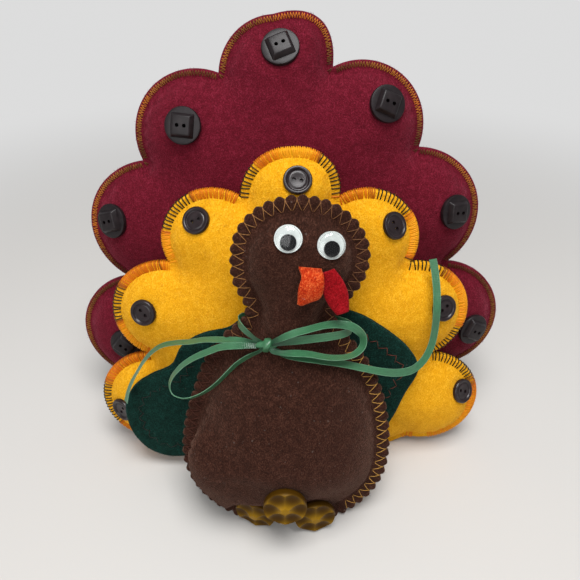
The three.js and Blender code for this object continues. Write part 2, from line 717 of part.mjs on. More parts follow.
// One felt layer of a wing, its back face at zero
function wingLayer(points) {
  const corners = points.map(([x, z]) => new THREE.Vector3(x, z, 0));
  const rim = new THREE.CatmullRomCurve3(corners, true).getSpacedPoints(WING_STEPS).slice(0, -1);
  const outline = new THREE.Shape(rim.map((point) => new THREE.Vector2(point.x, point.y)));
  const layer = new THREE.ExtrudeGeometry(outline, { depth: FELT, bevelEnabled: false });
  return layer.rotateX(Math.PI / 2);
}

// Two layers lying on the front tail
function addWing(group, name, points, seatY) {
  const back = piece(`${name}_back_felt`, wingLayer(points), GREEN);
  back.position.y = seatY;
  const front = piece(`${name}_front_felt`, wingLayer(points), GREEN);
  front.position.y = seatY - FELT - SEAM_GAP;
  group.add(back, front);
  return front;
}

// Plate, loose pupil and clear dome; the pupil lies at the low side of the eye
function addEye(bodyGroup, shape, name, point) {
  const plate = turned([[0, 0], [EYE_RADIUS, 0], [EYE_RADIUS, EYE_PLATE], [0, EYE_PLATE]], ROUND_STEPS);
  const eye = placeOnFront(new THREE.Group(), plate, shape, point, { follow: EYE_FOLLOW });
  bodyGroup.add(eye);
  eye.updateWorldMatrix(true, false);
  const down = new THREE.Vector3(0, 0, -1).transformDirection(eye.matrixWorld.clone().invert());
  const low = down.setY(0).normalize().multiplyScalar(PUPIL_SWING);
  const disc = [[0, 0], [PUPIL_RADIUS, 0], [PUPIL_RADIUS, PUPIL_THICK], [0, PUPIL_THICK]];
  const profile = [];
  for (let k = 0; k <= DOME_STEPS; k += 1) {
    const turn = (Math.PI / 2) * (k / DOME_STEPS);
    const rise = EYE_SIDE + (EYE_DOME - EYE_SIDE) * Math.cos(turn);
    profile.push([EYE_RADIUS * Math.sin(turn), rise]);
  }
  profile.push([EYE_RADIUS, 0], [EYE_RADIUS - EYE_WALL, 0]);
  for (let k = DOME_STEPS; k >= 0; k -= 1) {
    const turn = (Math.PI / 2) * (k / DOME_STEPS);
    const rise = EYE_SIDE + (EYE_DOME - EYE_WALL - EYE_SIDE) * Math.cos(turn);
    profile.push([(EYE_RADIUS - EYE_WALL) * Math.sin(turn), rise]);
  }
  const pupil = piece(`${name}_pupil`, turned(disc, ROUND_STEPS), EYE_BLACK);
  pupil.position.set(low.x, -EYE_PLATE - GLUE_GAP, low.z);
  const dome = piece(`${name}_dome`, turned(profile.reverse(), ROUND_STEPS), CLEAR);
  dome.position.y = -EYE_PLATE - GLUE_GAP;
  eye.add(piece(`${name}_plate`, plate, EYE_WHITE), pupil, dome);
}

// Folded square of felt: a short flap on the face, a crease that stands off it and a hanging point
function beak() {
  const left = BEAK_X - BEAK_WIDTH / 2;
  const right = BEAK_X + BEAK_WIDTH / 2;
  const top = HEAD_CENTRE - BEAK_DROP;
  const low = top - BEAK_FLAP;
  const tip = top - BEAK_LENGTH;
  const middle = (low + tip) / 2;
  return sheet([
    [new THREE.Vector3(left, 0, top), new THREE.Vector3(right, 0, top)],
    [new THREE.Vector3(left, -BEAK_STAND_OFF, low), new THREE.Vector3(right, -BEAK_STAND_OFF, low)],
    [new THREE.Vector3(left, -BEAK_STAND_OFF, middle), new THREE.Vector3(right, -BEAK_STAND_OFF, middle)],
    [
      new THREE.Vector3(left, -BEAK_STAND_OFF / 2, tip),
      new THREE.Vector3(left + BEAK_WIDTH / 4, -BEAK_STAND_OFF / 2, tip),
    ],
  ], FELT);
}

// Petal of felt that hangs beside the beak
function wattle() {
  const rows = [];
  const steps = 6;
  for (let k = 0; k <= steps; k += 1) {
    const share = k / steps;
    const half = (WATTLE_WIDTH / 2) * (0.3 + 0.7 * Math.sin(Math.PI * (0.15 + 0.7 * share)));
    const height = WATTLE_LENGTH * (0.5 - share);
    rows.push([new THREE.Vector3(-half, 0, height), new THREE.Vector3(half, 0, height)]);
  }
  const petal = sheet(rows, FELT);
  petal.rotateY(-rad(WATTLE_TURN));
  return petal.translate(WATTLE_X, 0, HEAD_CENTRE - WATTLE_DROP - WATTLE_LENGTH / 2);
}

// Faceted button: a round with scoops taken out of its face between petals
function footButton() {
  const chamfer = FOOT_THICK / 5;
  const body = turned([
    [0, 0],
    [FOOT_RADIUS - chamfer, 0],
    [FOOT_RADIUS, chamfer],
    [FOOT_RADIUS, FOOT_THICK - 2 * chamfer],
    [FOOT_RADIUS - chamfer, FOOT_THICK],
    [0, FOOT_THICK],
  ], 2 * FOOT_PETALS);
  const scoops = [];
  for (let k = 0; k < FOOT_PETALS; k += 1) {
    const turn = (2 * Math.PI * k) / FOOT_PETALS;
    const scoop = new THREE.SphereGeometry(FOOT_SCOOP, 12, 8);
    const out = FOOT_RADIUS * 0.72;
    const lift = FOOT_THICK + FOOT_SCOOP - FOOT_SCOOP_DEPTH;
    scoops.push(scoop.translate(out * Math.cos(turn), -lift, out * Math.sin(turn)));
  }
  return cut(body, ...scoops);
}

// Two feet stand before the belly and a third leans on them and on the belly
function addFeet(group, belly) {
  const names = ['left_foot', 'right_foot', 'upper_foot'];
  const sides = [-FOOT_SPREAD, FOOT_SPREAD, 0];
  const lifts = [FOOT_LIFT, FOOT_LIFT, FOOT_LIFT + FOOT_TOP_RISE];
  const still = [belly];
  names.forEach((name, k) => {
    const foot = footButton().rotateX(-rad(FOOT_TILTS[k])).rotateZ(rad(FOOT_TURNS[k]));
    foot.computeBoundingBox();
    foot.translate(FOOT_X + sides[k], 0, lifts[k] - foot.boundingBox.min.z);
    foot.translate(0, slideLength(foot, still, new THREE.Vector3(0, 1, 0)), 0);
    group.add(piece(name, foot, AMBER));
    still.push(foot);
  });
}

// Flat ribbon along a route, its face turned towards a given side
function ribbonStrip(route, facing) {
  const curve = new THREE.CatmullRomCurve3(route.map((point) => new THREE.Vector3(...point)));
  const steps = Math.round(curve.getLength() / STRIP_STEP);
  const rows = [];
  for (let k = 0; k <= steps; k += 1) {
    const at = curve.getPointAt(k / steps);
    const across = curve.getTangentAt(k / steps).cross(facing).normalize();
    rows.push([-0.5, 0.5].map((end) => at.clone().addScaledVector(across, end * RIBBON_WIDTH)));
  }
  return sheet(rows, RIBBON_THICK);
}

// Band from the knot round the neck and back to the knot, which hangs lower than the neck's sides
function neckBand(shape) {
  const level = NECK_HEIGHT - BAND_DROP;
  const middle = new THREE.Vector2(0, level);
  const stand = GLUE_GAP + RIBBON_THICK;
  const widest = Math.max(bodyHalfWidth(level - RIBBON_WIDTH), bodyHalfWidth(level + RIBBON_WIDTH));
  const half = widest + SCALLOP_HEIGHT + 2 * stand;
  const clear = KNOT_RADIUS + RIBBON_WIDTH / 2;
  const depths = [FRONT, BACK].map((side) => shape.surface(side, middle) + stand + RIBBON_WIDTH / 2);
  const first = 2 * Math.PI - Math.acos((KNOT_X + clear) / half);
  const last = 4 * Math.PI - Math.acos((KNOT_X - clear) / half);
  const at = (turn) => {
    const x = half * Math.cos(turn);
    const ahead = Math.sin(turn) < 0;
    const sag = x < KNOT_X ? (x + half) / (KNOT_X + half) : ((half - x) / (half - KNOT_X)) ** 3;
    return new THREE.Vector3(
      x,
      Math.sin(turn) * depths[ahead ? 0 : 1],
      level - (ahead ? KNOT_DROP * sag : 0),
    );
  };
  const rows = [];
  for (let k = 0; k <= BAND_STEPS; k += 1) {
    const turn = first + ((last - first) * k) / BAND_STEPS;
    const point = at(turn);
    const outward = new THREE.Vector3(Math.cos(turn) / half, Math.sin(turn) / depths[0], 0);
    const across = at(turn + 0.01).sub(at(turn - 0.01)).cross(outward).normalize();
    rows.push([-0.5, 0.5].map((end) => point.clone().addScaledVector(across, end * RIBBON_WIDTH)));
  }
  return sheet(rows, RIBBON_THICK);
}

const frontTail = tailShape({
  halfWidth: FRONT_TAIL_HALF_WIDTH,
  halfHeight: FRONT_TAIL_HALF_HEIGHT,
  centre: FRONT_TAIL_CENTRE,
  base: FRONT_TAIL_BASE,
  bulges: FRONT_TAIL_BULGES,
  shoulder: FRONT_TAIL_SHOULDER,
  puff: FRONT_TAIL_PUFF,
  rollOff: FRONT_TAIL_ROLL_OFF,
});
const rearTail = tailShape({
  halfWidth: REAR_TAIL_HALF_WIDTH,
  halfHeight: REAR_TAIL_HALF_HEIGHT,
  centre: REAR_TAIL_CENTRE,
  base: REAR_TAIL_BASE,
  bulges: REAR_TAIL_BULGES,
  shoulder: REAR_TAIL_SHOULDER,
  puff: REAR_TAIL_PUFF,
  rollOff: REAR_TAIL_ROLL_OFF,
});
const body = bodyShape();

const turkey = new THREE.Group();

// The two tails lean back together, the rear one a stuffing's depth behind the front one
const frontTailGroup = new THREE.Group();
frontTailGroup.position.set(0, TAIL_FOOT_Y, -TABLE_PRESS - FELT * Math.sin(rad(TAIL_LEAN)));
frontTailGroup.rotation.x = -rad(TAIL_LEAN);
turkey.add(frontTailGroup);
const tailReach = SEAM_GAP / 2 + FELT + FRONT_TAIL_PUFF;
const rearReach = SEAM_GAP / 2 + FELT + REAR_TAIL_PUFF;
const rearTailGroup = new THREE.Group();
rearTailGroup.position.x = REAR_TAIL_SHIFT;
rearTailGroup.position.y = tailReach + GLUE_GAP + rearReach;
rearTailGroup.position.z = rearTailGroup.position.y * Math.tan(rad(TAIL_LEAN));
rearTailGroup.rotation.y = rad(REAR_TAIL_ROLL);
frontTailGroup.add(rearTailGroup);
turkey.updateMatrixWorld(true);
addStuffed(frontTailGroup, frontTail.shape, 'front_tail', YELLOW);
addStuffed(rearTailGroup, rearTail.shape, 'rear_tail', BURGUNDY);
addButtons(frontTailGroup, frontTail, {
  prefix: 'front_tail',
  geometry: shirtButton(),
  finish: SHIRT_BUTTON,
  insets: FRONT_BUTTON_INSETS,
  slides: FRONT_BUTTON_SLIDES,
  spins: FRONT_BUTTON_SPINS,
});
addButtons(rearTailGroup, rearTail, {
  prefix: 'rear_tail',
  geometry: squareButton(),
  finish: SQUARE_BUTTON,
  insets: REAR_BUTTON_INSETS,
  slides: REAR_BUTTON_SLIDES,
  spins: REAR_BUTTON_SPINS,
});

// Wings lie on the front tail's face
const wingSeat = -tailReach - GLUE_GAP;
const wings = [
  addWing(frontTailGroup, 'left_wing', LEFT_WING_POINTS, wingSeat),
  addWing(frontTailGroup, 'right_wing', RIGHT_WING_POINTS, wingSeat),
];

// The body leans back until it rests on the wings and the front tail
const bodyGroup = new THREE.Group();
bodyGroup.position.set(BODY_FOOT_X, TAIL_FOOT_Y, -TABLE_PRESS);
bodyGroup.rotation.set(-rad(BODY_LEAN), rad(BODY_ROLL), 0);
turkey.add(bodyGroup);
turkey.updateMatrixWorld(true);
const behindBody = [frontTail.shape.front.clone().applyMatrix4(frontTailGroup.matrixWorld)];
wings.forEach((wing) => behindBody.push(wing.geometry.clone().applyMatrix4(wing.matrixWorld)));
const bodyBack = body.back.clone().applyMatrix4(bodyGroup.matrixWorld);
bodyGroup.position.y += slideLength(bodyBack, behindBody, new THREE.Vector3(0, 1, 0));
turkey.updateMatrixWorld(true);
addStuffed(bodyGroup, body, 'body', BROWN);
const eyeHeights = EYE_RISES.map((rise) => HEAD_CENTRE + rise);
addEye(bodyGroup, body, 'left_eye', new THREE.Vector2(EYE_SHIFT - EYE_SPACING / 2, eyeHeights[0]));
addEye(bodyGroup, body, 'right_eye', new THREE.Vector2(EYE_SHIFT + EYE_SPACING / 2, eyeHeights[1]));
bodyGroup.add(piece('beak', seatOnFront(beak(), body), ORANGE));
bodyGroup.add(piece('wattle', seatOnFront(wattle(), body), RED));
addFeet(turkey, body.front.clone().applyMatrix4(bodyGroup.matrixWorld));

// Ribbon tied round the neck
bodyGroup.add(piece('ribbon_neck_band', neckBand(body), SATIN));
const knotHeight = NECK_HEIGHT - BAND_DROP - KNOT_DROP;
const knotSolid = new THREE.SphereGeometry(KNOT_RADIUS, 10, 8).translate(KNOT_X, 0, knotHeight);
const knot = piece('ribbon_knot', seatOnFront(knotSolid, body), SATIN);
bodyGroup.add(knot);
turkey.updateMatrixWorld(true);
const ribbonGroup = new THREE.Group();
new THREE.Box3().setFromObject(knot, true).getCenter(ribbonGroup.position);
turkey.add(ribbonGroup);
const forward = new THREE.Vector3(0, -1, 0.6);
ribbonGroup.add(piece('ribbon_left_loop', ribbonStrip(LEFT_LOOP_ROUTE, forward), SATIN));
ribbonGroup.add(piece('ribbon_right_loop', ribbonStrip(RIGHT_LOOP_ROUTE, forward), SATIN));
ribbonGroup.add(piece('ribbon_left_tail', ribbonStrip(LEFT_TAIL_ROUTE, forward), SATIN));
ribbonGroup.add(piece('ribbon_right_tail', ribbonStrip(RIGHT_TAIL_ROUTE, forward), SATIN));

export default turkey;
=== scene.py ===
"""Looks of the felt turkey figure: stuffed felt, thread, buttons, eyes, feet and ribbon."""

import logging
import math
from dataclasses import dataclass, field
from enum import Enum
from functools import cache
from typing import Callable, Sequence

import bmesh
import bpy
import numpy as np
from bpy.types import Material, Mesh, Node, NodeSocket, NodeTree, Object
from mathutils import Matrix, Vector
from mathutils.geometry import delaunay_2d_cdt


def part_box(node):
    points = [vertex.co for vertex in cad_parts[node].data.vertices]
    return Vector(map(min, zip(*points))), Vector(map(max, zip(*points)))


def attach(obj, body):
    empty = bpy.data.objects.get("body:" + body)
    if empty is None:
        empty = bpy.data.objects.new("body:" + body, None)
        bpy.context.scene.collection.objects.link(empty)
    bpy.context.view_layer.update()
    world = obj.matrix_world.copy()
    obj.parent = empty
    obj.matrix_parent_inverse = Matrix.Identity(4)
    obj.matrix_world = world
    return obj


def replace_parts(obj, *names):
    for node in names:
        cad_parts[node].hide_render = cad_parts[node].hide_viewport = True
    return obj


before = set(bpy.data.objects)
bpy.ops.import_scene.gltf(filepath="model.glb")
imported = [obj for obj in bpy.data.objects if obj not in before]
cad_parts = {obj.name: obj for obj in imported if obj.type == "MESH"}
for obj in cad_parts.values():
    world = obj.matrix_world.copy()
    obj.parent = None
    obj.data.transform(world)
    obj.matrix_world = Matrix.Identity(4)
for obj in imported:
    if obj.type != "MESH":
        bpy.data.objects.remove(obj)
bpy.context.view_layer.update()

LOG = logging.getLogger("felt_turkey")
MM = 0.001
SEED = 11
FIGURE = "figure"

Array = np.ndarray
Colour = tuple[float, float, float, float]
Route = Sequence[tuple[float, float, float]]
Pattern = tuple[tuple[float, float], ...]


class Side(Enum):
    """The two faces of a stuffed shape, as the sign of its depth."""

    FRONT = -1
    BACK = 1


class Slot(Enum):
    """Material slots of the record."""

    YELLOW = "yellow_felt"
    BURGUNDY = "burgundy_felt"
    BROWN = "brown_felt"
    GREEN = "green_felt"
    ORANGE = "orange_felt"
    RED = "red_felt"
    STUFFING = "stuffing"
    SHIRT_BUTTON = "shirt_button"
    SQUARE_BUTTON = "square_button"
    EYE_WHITE = "eye_white"
    EYE_BLACK = "eye_black"
    EYE_DOME = "eye_dome"
    AMBER = "amber"
    RIBBON = "ribbon"


# Cloth sizes in millimetres
FELT = 1.5
SEAM_GAP = 0.3
TABLE_PRESS = 0.5
# Loose fibres on each square millimetre of felt, and how near the table they come
NAP_DENSITY = 0.4
NAP_FLOOR = 1.5
# How near the table stitches come, and the step in which their places are counted
STITCH_FLOOR = 2.5
STITCH_STEP = 0.25
# Spacing of points along the edge and the seam of a panel
EDGE_STEP = 1.1
SEAM_STEP = 1.5
# Points measured at a time, and the least distance between points of a cut panel
BATCH = 500
CUT_TOLERANCE = 1e-4
# What counts as nothing when lengths are divided or compared
TINY = 1e-6


def colour(code: int) -> Colour:
    """Turns a screen colour, 0xRRGGBB, into linear light with full cover."""
    parts = [((code >> shift) & 255) / 255 for shift in (16, 8, 0)]
    return (*(p / 12.92 if p < 0.04045 else ((p + 0.055) / 1.055) ** 2.4 for p in parts), 1.0)


def unit(vectors: Array) -> Array:
    """Makes every row of vectors one long."""
    return vectors / np.linalg.norm(vectors, axis=-1, keepdims=True)


def lengths_along(points: Array) -> Array:
    """Length of a path from its start to each of its points."""
    return np.concatenate([[0], np.cumsum(np.linalg.norm(np.diff(points, axis=0), axis=1))])


def even_loop(points: Array, step: float) -> Array:
    """Spaces the points of a closed loop evenly.

    Args:
        points: Corners of the loop, one per row.
        step: Distance wanted between points.

    Returns:
        The new points, one per row.
    """
    closed = np.vstack([points, points[:1]])
    run = lengths_along(closed)
    count = max(8, int(round(run[-1] / step)))
    at = np.linspace(0, run[-1], count, endpoint=False)
    return np.column_stack([np.interp(at, run, column) for column in closed.T])


def inward_normals(loop: Array, spread: int = 2) -> Array:
    """Unit vectors into a loop that runs against the clock, from points that far on either side."""
    along = unit(np.roll(loop, -spread, axis=0) - np.roll(loop, spread, axis=0))
    return np.column_stack([-along[:, 1], along[:, 0]])


def distance_to(points: Array, loop: Array) -> Array:
    """Shortest distance of points to a closed loop.

    Args:
        points: Points to measure.
        loop: Corners of the loop.

    Returns:
        One distance per point.
    """
    run = np.roll(loop, -1, axis=0) - loop
    square = np.maximum((run * run).sum(1), TINY**2)
    least = np.empty(len(points))
    for start in range(0, len(points), BATCH):
        offset = points[start : start + BATCH, None, :] - loop[None]
        share = np.clip((offset * run).sum(-1) / square, 0, 1)
        least[start : start + BATCH] = np.linalg.norm(offset - share[..., None] * run, axis=-1).min(1)
    return least


def inside(points: Array, loop: Array) -> Array:
    """Tells which points lie inside a closed loop.

    Args:
        points: Points to test.
        loop: Corners of the loop.

    Returns:
        One truth value per point.
    """
    a, b = loop, np.roll(loop, -1, axis=0)
    result = np.zeros(len(points), bool)
    for (ax, ay), (bx, by) in zip(a, b):
        if ay == by:
            continue
        crosses = (ay > points[:, 1]) != (by > points[:, 1])
        result ^= crosses & (points[:, 0] < ax + (points[:, 1] - ay) / (by - ay) * (bx - ax))
    return result


def smooth_path(route: Route, step: float) -> Array:
    """Evenly spaced points on a smooth curve through the route.

    Args:
        route: Points that the curve passes through.
        step: Distance wanted between points.

    Returns:
        Points of the curve, one per row.
    """
    p = np.array(route, float)
    p = np.vstack([2 * p[0] - p[1], p, 2 * p[-1] - p[-2]])
    t = np.linspace(0, 1, 24, endpoint=False)[:, None]
    dense = []
    for a, b, c, d in zip(p, p[1:], p[2:], p[3:]):
        bend, twist = 2 * a - 5 * b + 4 * c - d, 3 * b - a - 3 * c + d
        dense.append(0.5 * (2 * b + (c - a) * t + bend * t**2 + twist * t**3))
    dense = np.vstack([*dense, p[-2][None]])
    run = lengths_along(dense)
    at = np.linspace(0, run[-1], max(8, int(round(run[-1] / step)) + 1))
    return np.column_stack([np.interp(at, run, column) for column in dense.T])


def smoothstep(value: Array, low: float, high: float) -> Array:
    """Soft step from 0 at low to 1 at high."""
    share = np.clip((value - low) / (high - low), 0, 1)
    return share * share * (3 - 2 * share)


def quarter_round(far: Array, radius: float) -> Array:
    """Height of a rounded rim, from 0 on its edge to 1 at its radius."""
    return np.sqrt(1 - (1 - np.clip(far / radius, 0, 1)) ** 2)


def ripple(points: Array, size: float, seed: int = 0) -> Array:
    """Gentle uneven waves over a plane, about -1 to 1.

    Args:
        points: Points of the plane.
        size: Length of a typical wave.
        seed: Which of many patterns.

    Returns:
        One height per point.
    """
    dice = np.random.default_rng(SEED + seed)
    waves = 7
    total = np.zeros(len(points))
    for _ in range(waves):
        turn = dice.uniform(0, 2 * math.pi)
        pitch = 2 * math.pi / (size * dice.uniform(0.6, 1.7))
        heading = np.array([math.cos(turn), math.sin(turn)]) * pitch
        total += np.sin(points @ heading + dice.uniform(0, 2 * math.pi))
    return total / (waves / 2)


def new_piece(name: str, mesh: Mesh, material: Material | None) -> Object:
    """Puts a mesh in the scene as a piece with one finish.

    Args:
        name: Name of the piece.
        mesh: Its mesh, in metres.
        material: Its finish, or none where the mesh has one.

    Returns:
        The new object.
    """
    mesh.name = name
    piece = bpy.data.objects.new(name, mesh)
    bpy.context.scene.collection.objects.link(piece)
    if material is not None:
        mesh.materials.clear()
        mesh.materials.append(material)
    return piece


def mesh_from(points: Array, faces: Sequence[Sequence[int]], smooth: bool = True) -> Mesh:
    """Makes a mesh with its faces turned outward.

    Args:
        points: Corners in millimetres.
        faces: Corner numbers of each face.
        smooth: Whether the faces are shaded smooth.

    Returns:
        The mesh, in metres.
    """
    mesh = bpy.data.meshes.new("mesh")
    mesh.from_pydata((np.asarray(points, float) * MM).tolist(), [], [list(map(int, f)) for f in faces])
    tidy = bmesh.new()
    tidy.from_mesh(mesh)
    bmesh.ops.recalc_face_normals(tidy, faces=tidy.faces)
    tidy.to_mesh(mesh)
    tidy.free()
    mesh.polygons.foreach_set("use_smooth", [smooth] * len(mesh.polygons))
    mesh.update()
    return mesh


def put_values(mesh: Mesh, name: str, values: Array) -> None:
    """Stores a number or a vector on every corner of a mesh.

    Args:
        mesh: Mesh that takes them.
        name: Name of the attribute.
        values: One number or one vector per corner.
    """
    kind, key = ("FLOAT", "value") if values.ndim == 1 else ("FLOAT_VECTOR", "vector")
    column = mesh.attributes.new(name, kind, "POINT")
    column.data.foreach_set(key, values.astype(np.float32).ravel())


def turned(vectors: Array, placement: Matrix) -> Array:
    """Turns directions from a shape's own frame to the figure's."""
    return vectors @ np.array(placement.to_3x3()).T


def moved(points: Array, placement: Matrix) -> Array:
    """Carries points from a shape's own frame, in millimetres, to the figure's."""
    return turned(points, placement) + np.array(placement.translation)


def stood_up(flat: Array, depth: Array | float) -> Array:
    """Stands a flat pattern up, so that its second column becomes the height."""
    return np.column_stack([flat[:, 0], np.broadcast_to(depth, len(flat)), flat[:, 1]])


def lattice(spread: Array, loop: Array, step: float, gap: float, staggered: bool = False) -> Array:
    """Even rows of points inside a loop.

    Args:
        spread: Points whose box the rows fill.
        loop: Loop that holds them.
        step: Distance between points of a row.
        gap: Least distance to the loop.
        staggered: Whether every second row is shifted, as in a honeycomb.

    Returns:
        The points, one per row.
    """
    low, high = spread.min(0), spread.max(0)
    rows = []
    for k, height in enumerate(np.arange(low[1], high[1], step * 0.866 if staggered else step)):
        columns = np.arange(low[0], high[0], step) + (k % 2) * (step / 2 if staggered else 0.0)
        rows.append(np.column_stack([columns, np.full(len(columns), height)]))
    points = np.vstack(rows)
    points = points[inside(points, loop)]
    return points[distance_to(points, loop) > gap]


def boundary(faces: Sequence[Sequence[int]]) -> Array:
    """Finds the outer edge of a triangle mesh.

    Args:
        faces: The triangles.

    Returns:
        Point numbers round the edge, in the triangles' sense.
    """
    owned = set()
    for face in faces:
        for a, b in zip(face, [*face[1:], face[0]]):
            owned.add((a, b))
    onward = {a: b for a, b in owned if (b, a) not in owned}
    first = next(iter(onward))
    loop = [first]
    while onward[loop[-1]] != first:
        loop.append(onward[loop[-1]])
    return np.array(loop)


def triangulate(sets: Sequence[Array], fixed: Sequence[int]) -> tuple[Array, Array, Array]:
    """Cuts a flat shape into small triangles.

    Args:
        sets: Sets of points, the closed outer edge first.
        fixed: Numbers of the sets whose loops stay whole.

    Returns:
        Points, triangles, and the numbers of the edge points in order.
    """
    points, edges = [], []
    for k, ring in enumerate(sets):
        start = len(points)
        points.extend(Vector(p) for p in ring.tolist())
        if k in fixed:
            edges.extend((start + m, start + (m + 1) % len(ring)) for m in range(len(ring)))
    found = delaunay_2d_cdt(points, edges, [], 1, CUT_TOLERANCE)
    return np.array([tuple(p) for p in found[0]]), np.array(found[2]), boundary(found[2])


def closed_skin(points: Array, faces: Array, edge: Array) -> Mesh:
    """Joins an upper and a lower skin of the same faces by a wall.

    Args:
        points: Points of the upper skin, then as many of the lower one.
        faces: Faces of either skin.
        edge: Point numbers round the edge.

    Returns:
        The closed mesh, in metres.
    """
    count, onward = len(points) // 2, np.roll(edge, -1)
    walls = np.column_stack([edge, onward, onward + count, edge + count])
    every = [*faces.tolist(), *(faces[:, ::-1] + count).tolist(), *walls[:, ::-1].tolist()]
    return mesh_from(points, every)


def sheet_mesh(upper: Array, lower: Array) -> Mesh:
    """Joins two grids of points into one closed sheet.

    Args:
        upper: Grid of points in millimetres: row, column, axis.
        lower: The grid on the other side.

    Returns:
        The closed mesh, in metres.
    """
    number = np.arange(upper.shape[0] * upper.shape[1]).reshape(upper.shape[:2])
    quads = np.stack([number[:-1, :-1], number[1:, :-1], number[1:, 1:], number[:-1, 1:]], -1)
    rim = [*number[0, :-1], *number[:-1, -1], *number[-1, :0:-1], *number[:0:-1, 0]]
    points = np.concatenate([upper.reshape(-1, 3), lower.reshape(-1, 3)])
    return closed_skin(points, quads.reshape(-1, 4), np.array(rim))


def corners_of(mesh: Mesh) -> Array:
    """Reads the corners of a mesh.

    Args:
        mesh: Mesh in metres.

    Returns:
        Its corners in millimetres.
    """
    flat = np.empty(len(mesh.vertices) * 3)
    mesh.vertices.foreach_get("co", flat)
    return flat.reshape(-1, 3) / MM


def node_points(node: str) -> Array:
    """Corners of a solid at rest, in millimetres."""
    return corners_of(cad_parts[node].data)


def seat_of(node: str) -> tuple[Vector, Vector]:
    """Foot and facing of a flat round solid.

    Args:
        node: Name of the solid.

    Returns:
        Middle of its foot in millimetres and the unit vector it faces.
    """
    points = node_points(node)
    middle = points.mean(0)
    axis = np.linalg.svd(points - middle, full_matrices=False)[2][2]
    if axis[1] > 0:
        axis = -axis
    low = ((points - middle) @ axis).min()
    return Vector(middle + axis * low), Vector(axis)


@dataclass(frozen=True)
class Stance:
    """Where the leaning shapes stand, in millimetres and radians."""

    tail_foot_y: float = -6.0
    tail_lean: float = math.radians(10.0)
    rear_shift: float = 2.1
    rear_step: float = 28.6
    rear_roll: float = math.radians(-2.8)
    body_foot: tuple[float, float] = (-4.0, -47.05)
    body_lean: float = math.radians(17.0)
    body_roll: float = math.radians(3.85)

    def front_tail(self) -> Matrix:
        """Frame of the front tail."""
        foot = Matrix.Translation((0, self.tail_foot_y, -TABLE_PRESS - FELT * math.sin(self.tail_lean)))
        return foot @ Matrix.Rotation(-self.tail_lean, 4, "X")

    def rear_tail(self) -> Matrix:
        """Frame of the rear tail, a step behind the front one."""
        step = (self.rear_shift, self.rear_step, self.rear_step * math.tan(self.tail_lean))
        return self.front_tail() @ Matrix.Translation(step) @ Matrix.Rotation(self.rear_roll, 4, "Y")

    def body(self) -> Matrix:
        """Frame of the body."""
        lean = Matrix.Rotation(-self.body_lean, 4, "X") @ Matrix.Rotation(self.body_roll, 4, "Y")
        return Matrix.Translation((*self.body_foot, -TABLE_PRESS)) @ lean


@dataclass(frozen=True)
class Graph:
    """Short way to add nodes to a tree and join them."""

    tree: NodeTree

    def fill(self, node: Node, inputs: dict) -> Node:
        """Gives a node its values and links.

        Args:
            node: Node to fill.
            inputs: Socket name or number to a value or to another node's socket.

        Returns:
            The same node.
        """
        for key, value in inputs.items():
            if isinstance(value, NodeSocket):
                self.tree.links.new(value, node.inputs[key])
            else:
                node.inputs[key].default_value = value
        return node

    def add(self, kind: str, inputs: dict | None = None, **settings: object) -> Node:
        """Adds a node.

        Args:
            kind: Node type.
            inputs: Socket name or number to a value or to another node's socket.
            **settings: Properties of the node.

        Returns:
            The node.
        """
        node = self.tree.nodes.new(kind)
        for key, value in settings.items():
            setattr(node, key, value)
        return self.fill(node, inputs or {})

    def math(self, operation: str, *values: object) -> NodeSocket:
        """Result of a sum on numbers or sockets."""
        return self.add("ShaderNodeMath", dict(enumerate(values)), operation=operation).outputs[0]

    def span(self, value: NodeSocket, low: float, high: float) -> NodeSocket:
        """Stretches what lies from low to high over 0 to 1."""
        return self.add("ShaderNodeMapRange", {"Value": value, "From Min": low, "From Max": high}).outputs[0]

    def noise(self, place: NodeSocket, scale: float, detail: float, **more: float) -> NodeSocket:
        """Cloudy pattern over a place."""
        inputs = {"Vector": place, "Scale": scale, "Detail": detail, **more}
        return self.add("ShaderNodeTexNoise", inputs).outputs["Fac"]

    def mix(self, share: object, first: object, second: object) -> NodeSocket:
        """Mixes two colours by the share of the second."""
        return self.add("ShaderNodeMix", {0: share, 6: first, 7: second}, data_type="RGBA").outputs[2]

    def place(self) -> NodeSocket:
        """Place on the piece."""
        return self.add("ShaderNodeTexCoord").outputs["Object"]

    def stored(self, name: str) -> NodeSocket:
        """Number that the mesh stores under a name."""
        return self.add("ShaderNodeAttribute", attribute_name=name).outputs["Fac"]


def new_tree(name: str, kind: str, inputs: dict[str, str], outputs: dict[str, str]) -> NodeTree:
    """Starts a node group with its sockets.

    Args:
        name: Name of the group.
        kind: Type of its tree.
        inputs: Name of each input to its type.
        outputs: Name of each output to its type.

    Returns:
        The tree.
    """
    tree = bpy.data.node_groups.new(name, kind)
    for way, sockets in (("INPUT", inputs), ("OUTPUT", outputs)):
        for label, sort in sockets.items():
            tree.interface.new_socket(label, in_out=way, socket_type=f"NodeSocket{sort}")
    return tree


def start_material(name: str) -> tuple[Material, Graph, Node]:
    """Starts a material with a bare shader.

    Args:
        name: Name of the material.

    Returns:
        The material, its graph and its shader.
    """
    material = bpy.data.materials.new(name)
    material.use_nodes = True
    return material, Graph(material.node_tree), material.node_tree.nodes["Principled BSDF"]


def blend_shaders(g: Graph, share: NodeSocket, first: Node, second: Node) -> None:
    """Ends a material in two shaders, mixed by the share of the second."""
    both = g.add("ShaderNodeMixShader", {0: share, 1: first.outputs[0], 2: second.outputs[0]})
    g.fill(g.tree.nodes["Material Output"], {"Surface": both.outputs[0]})


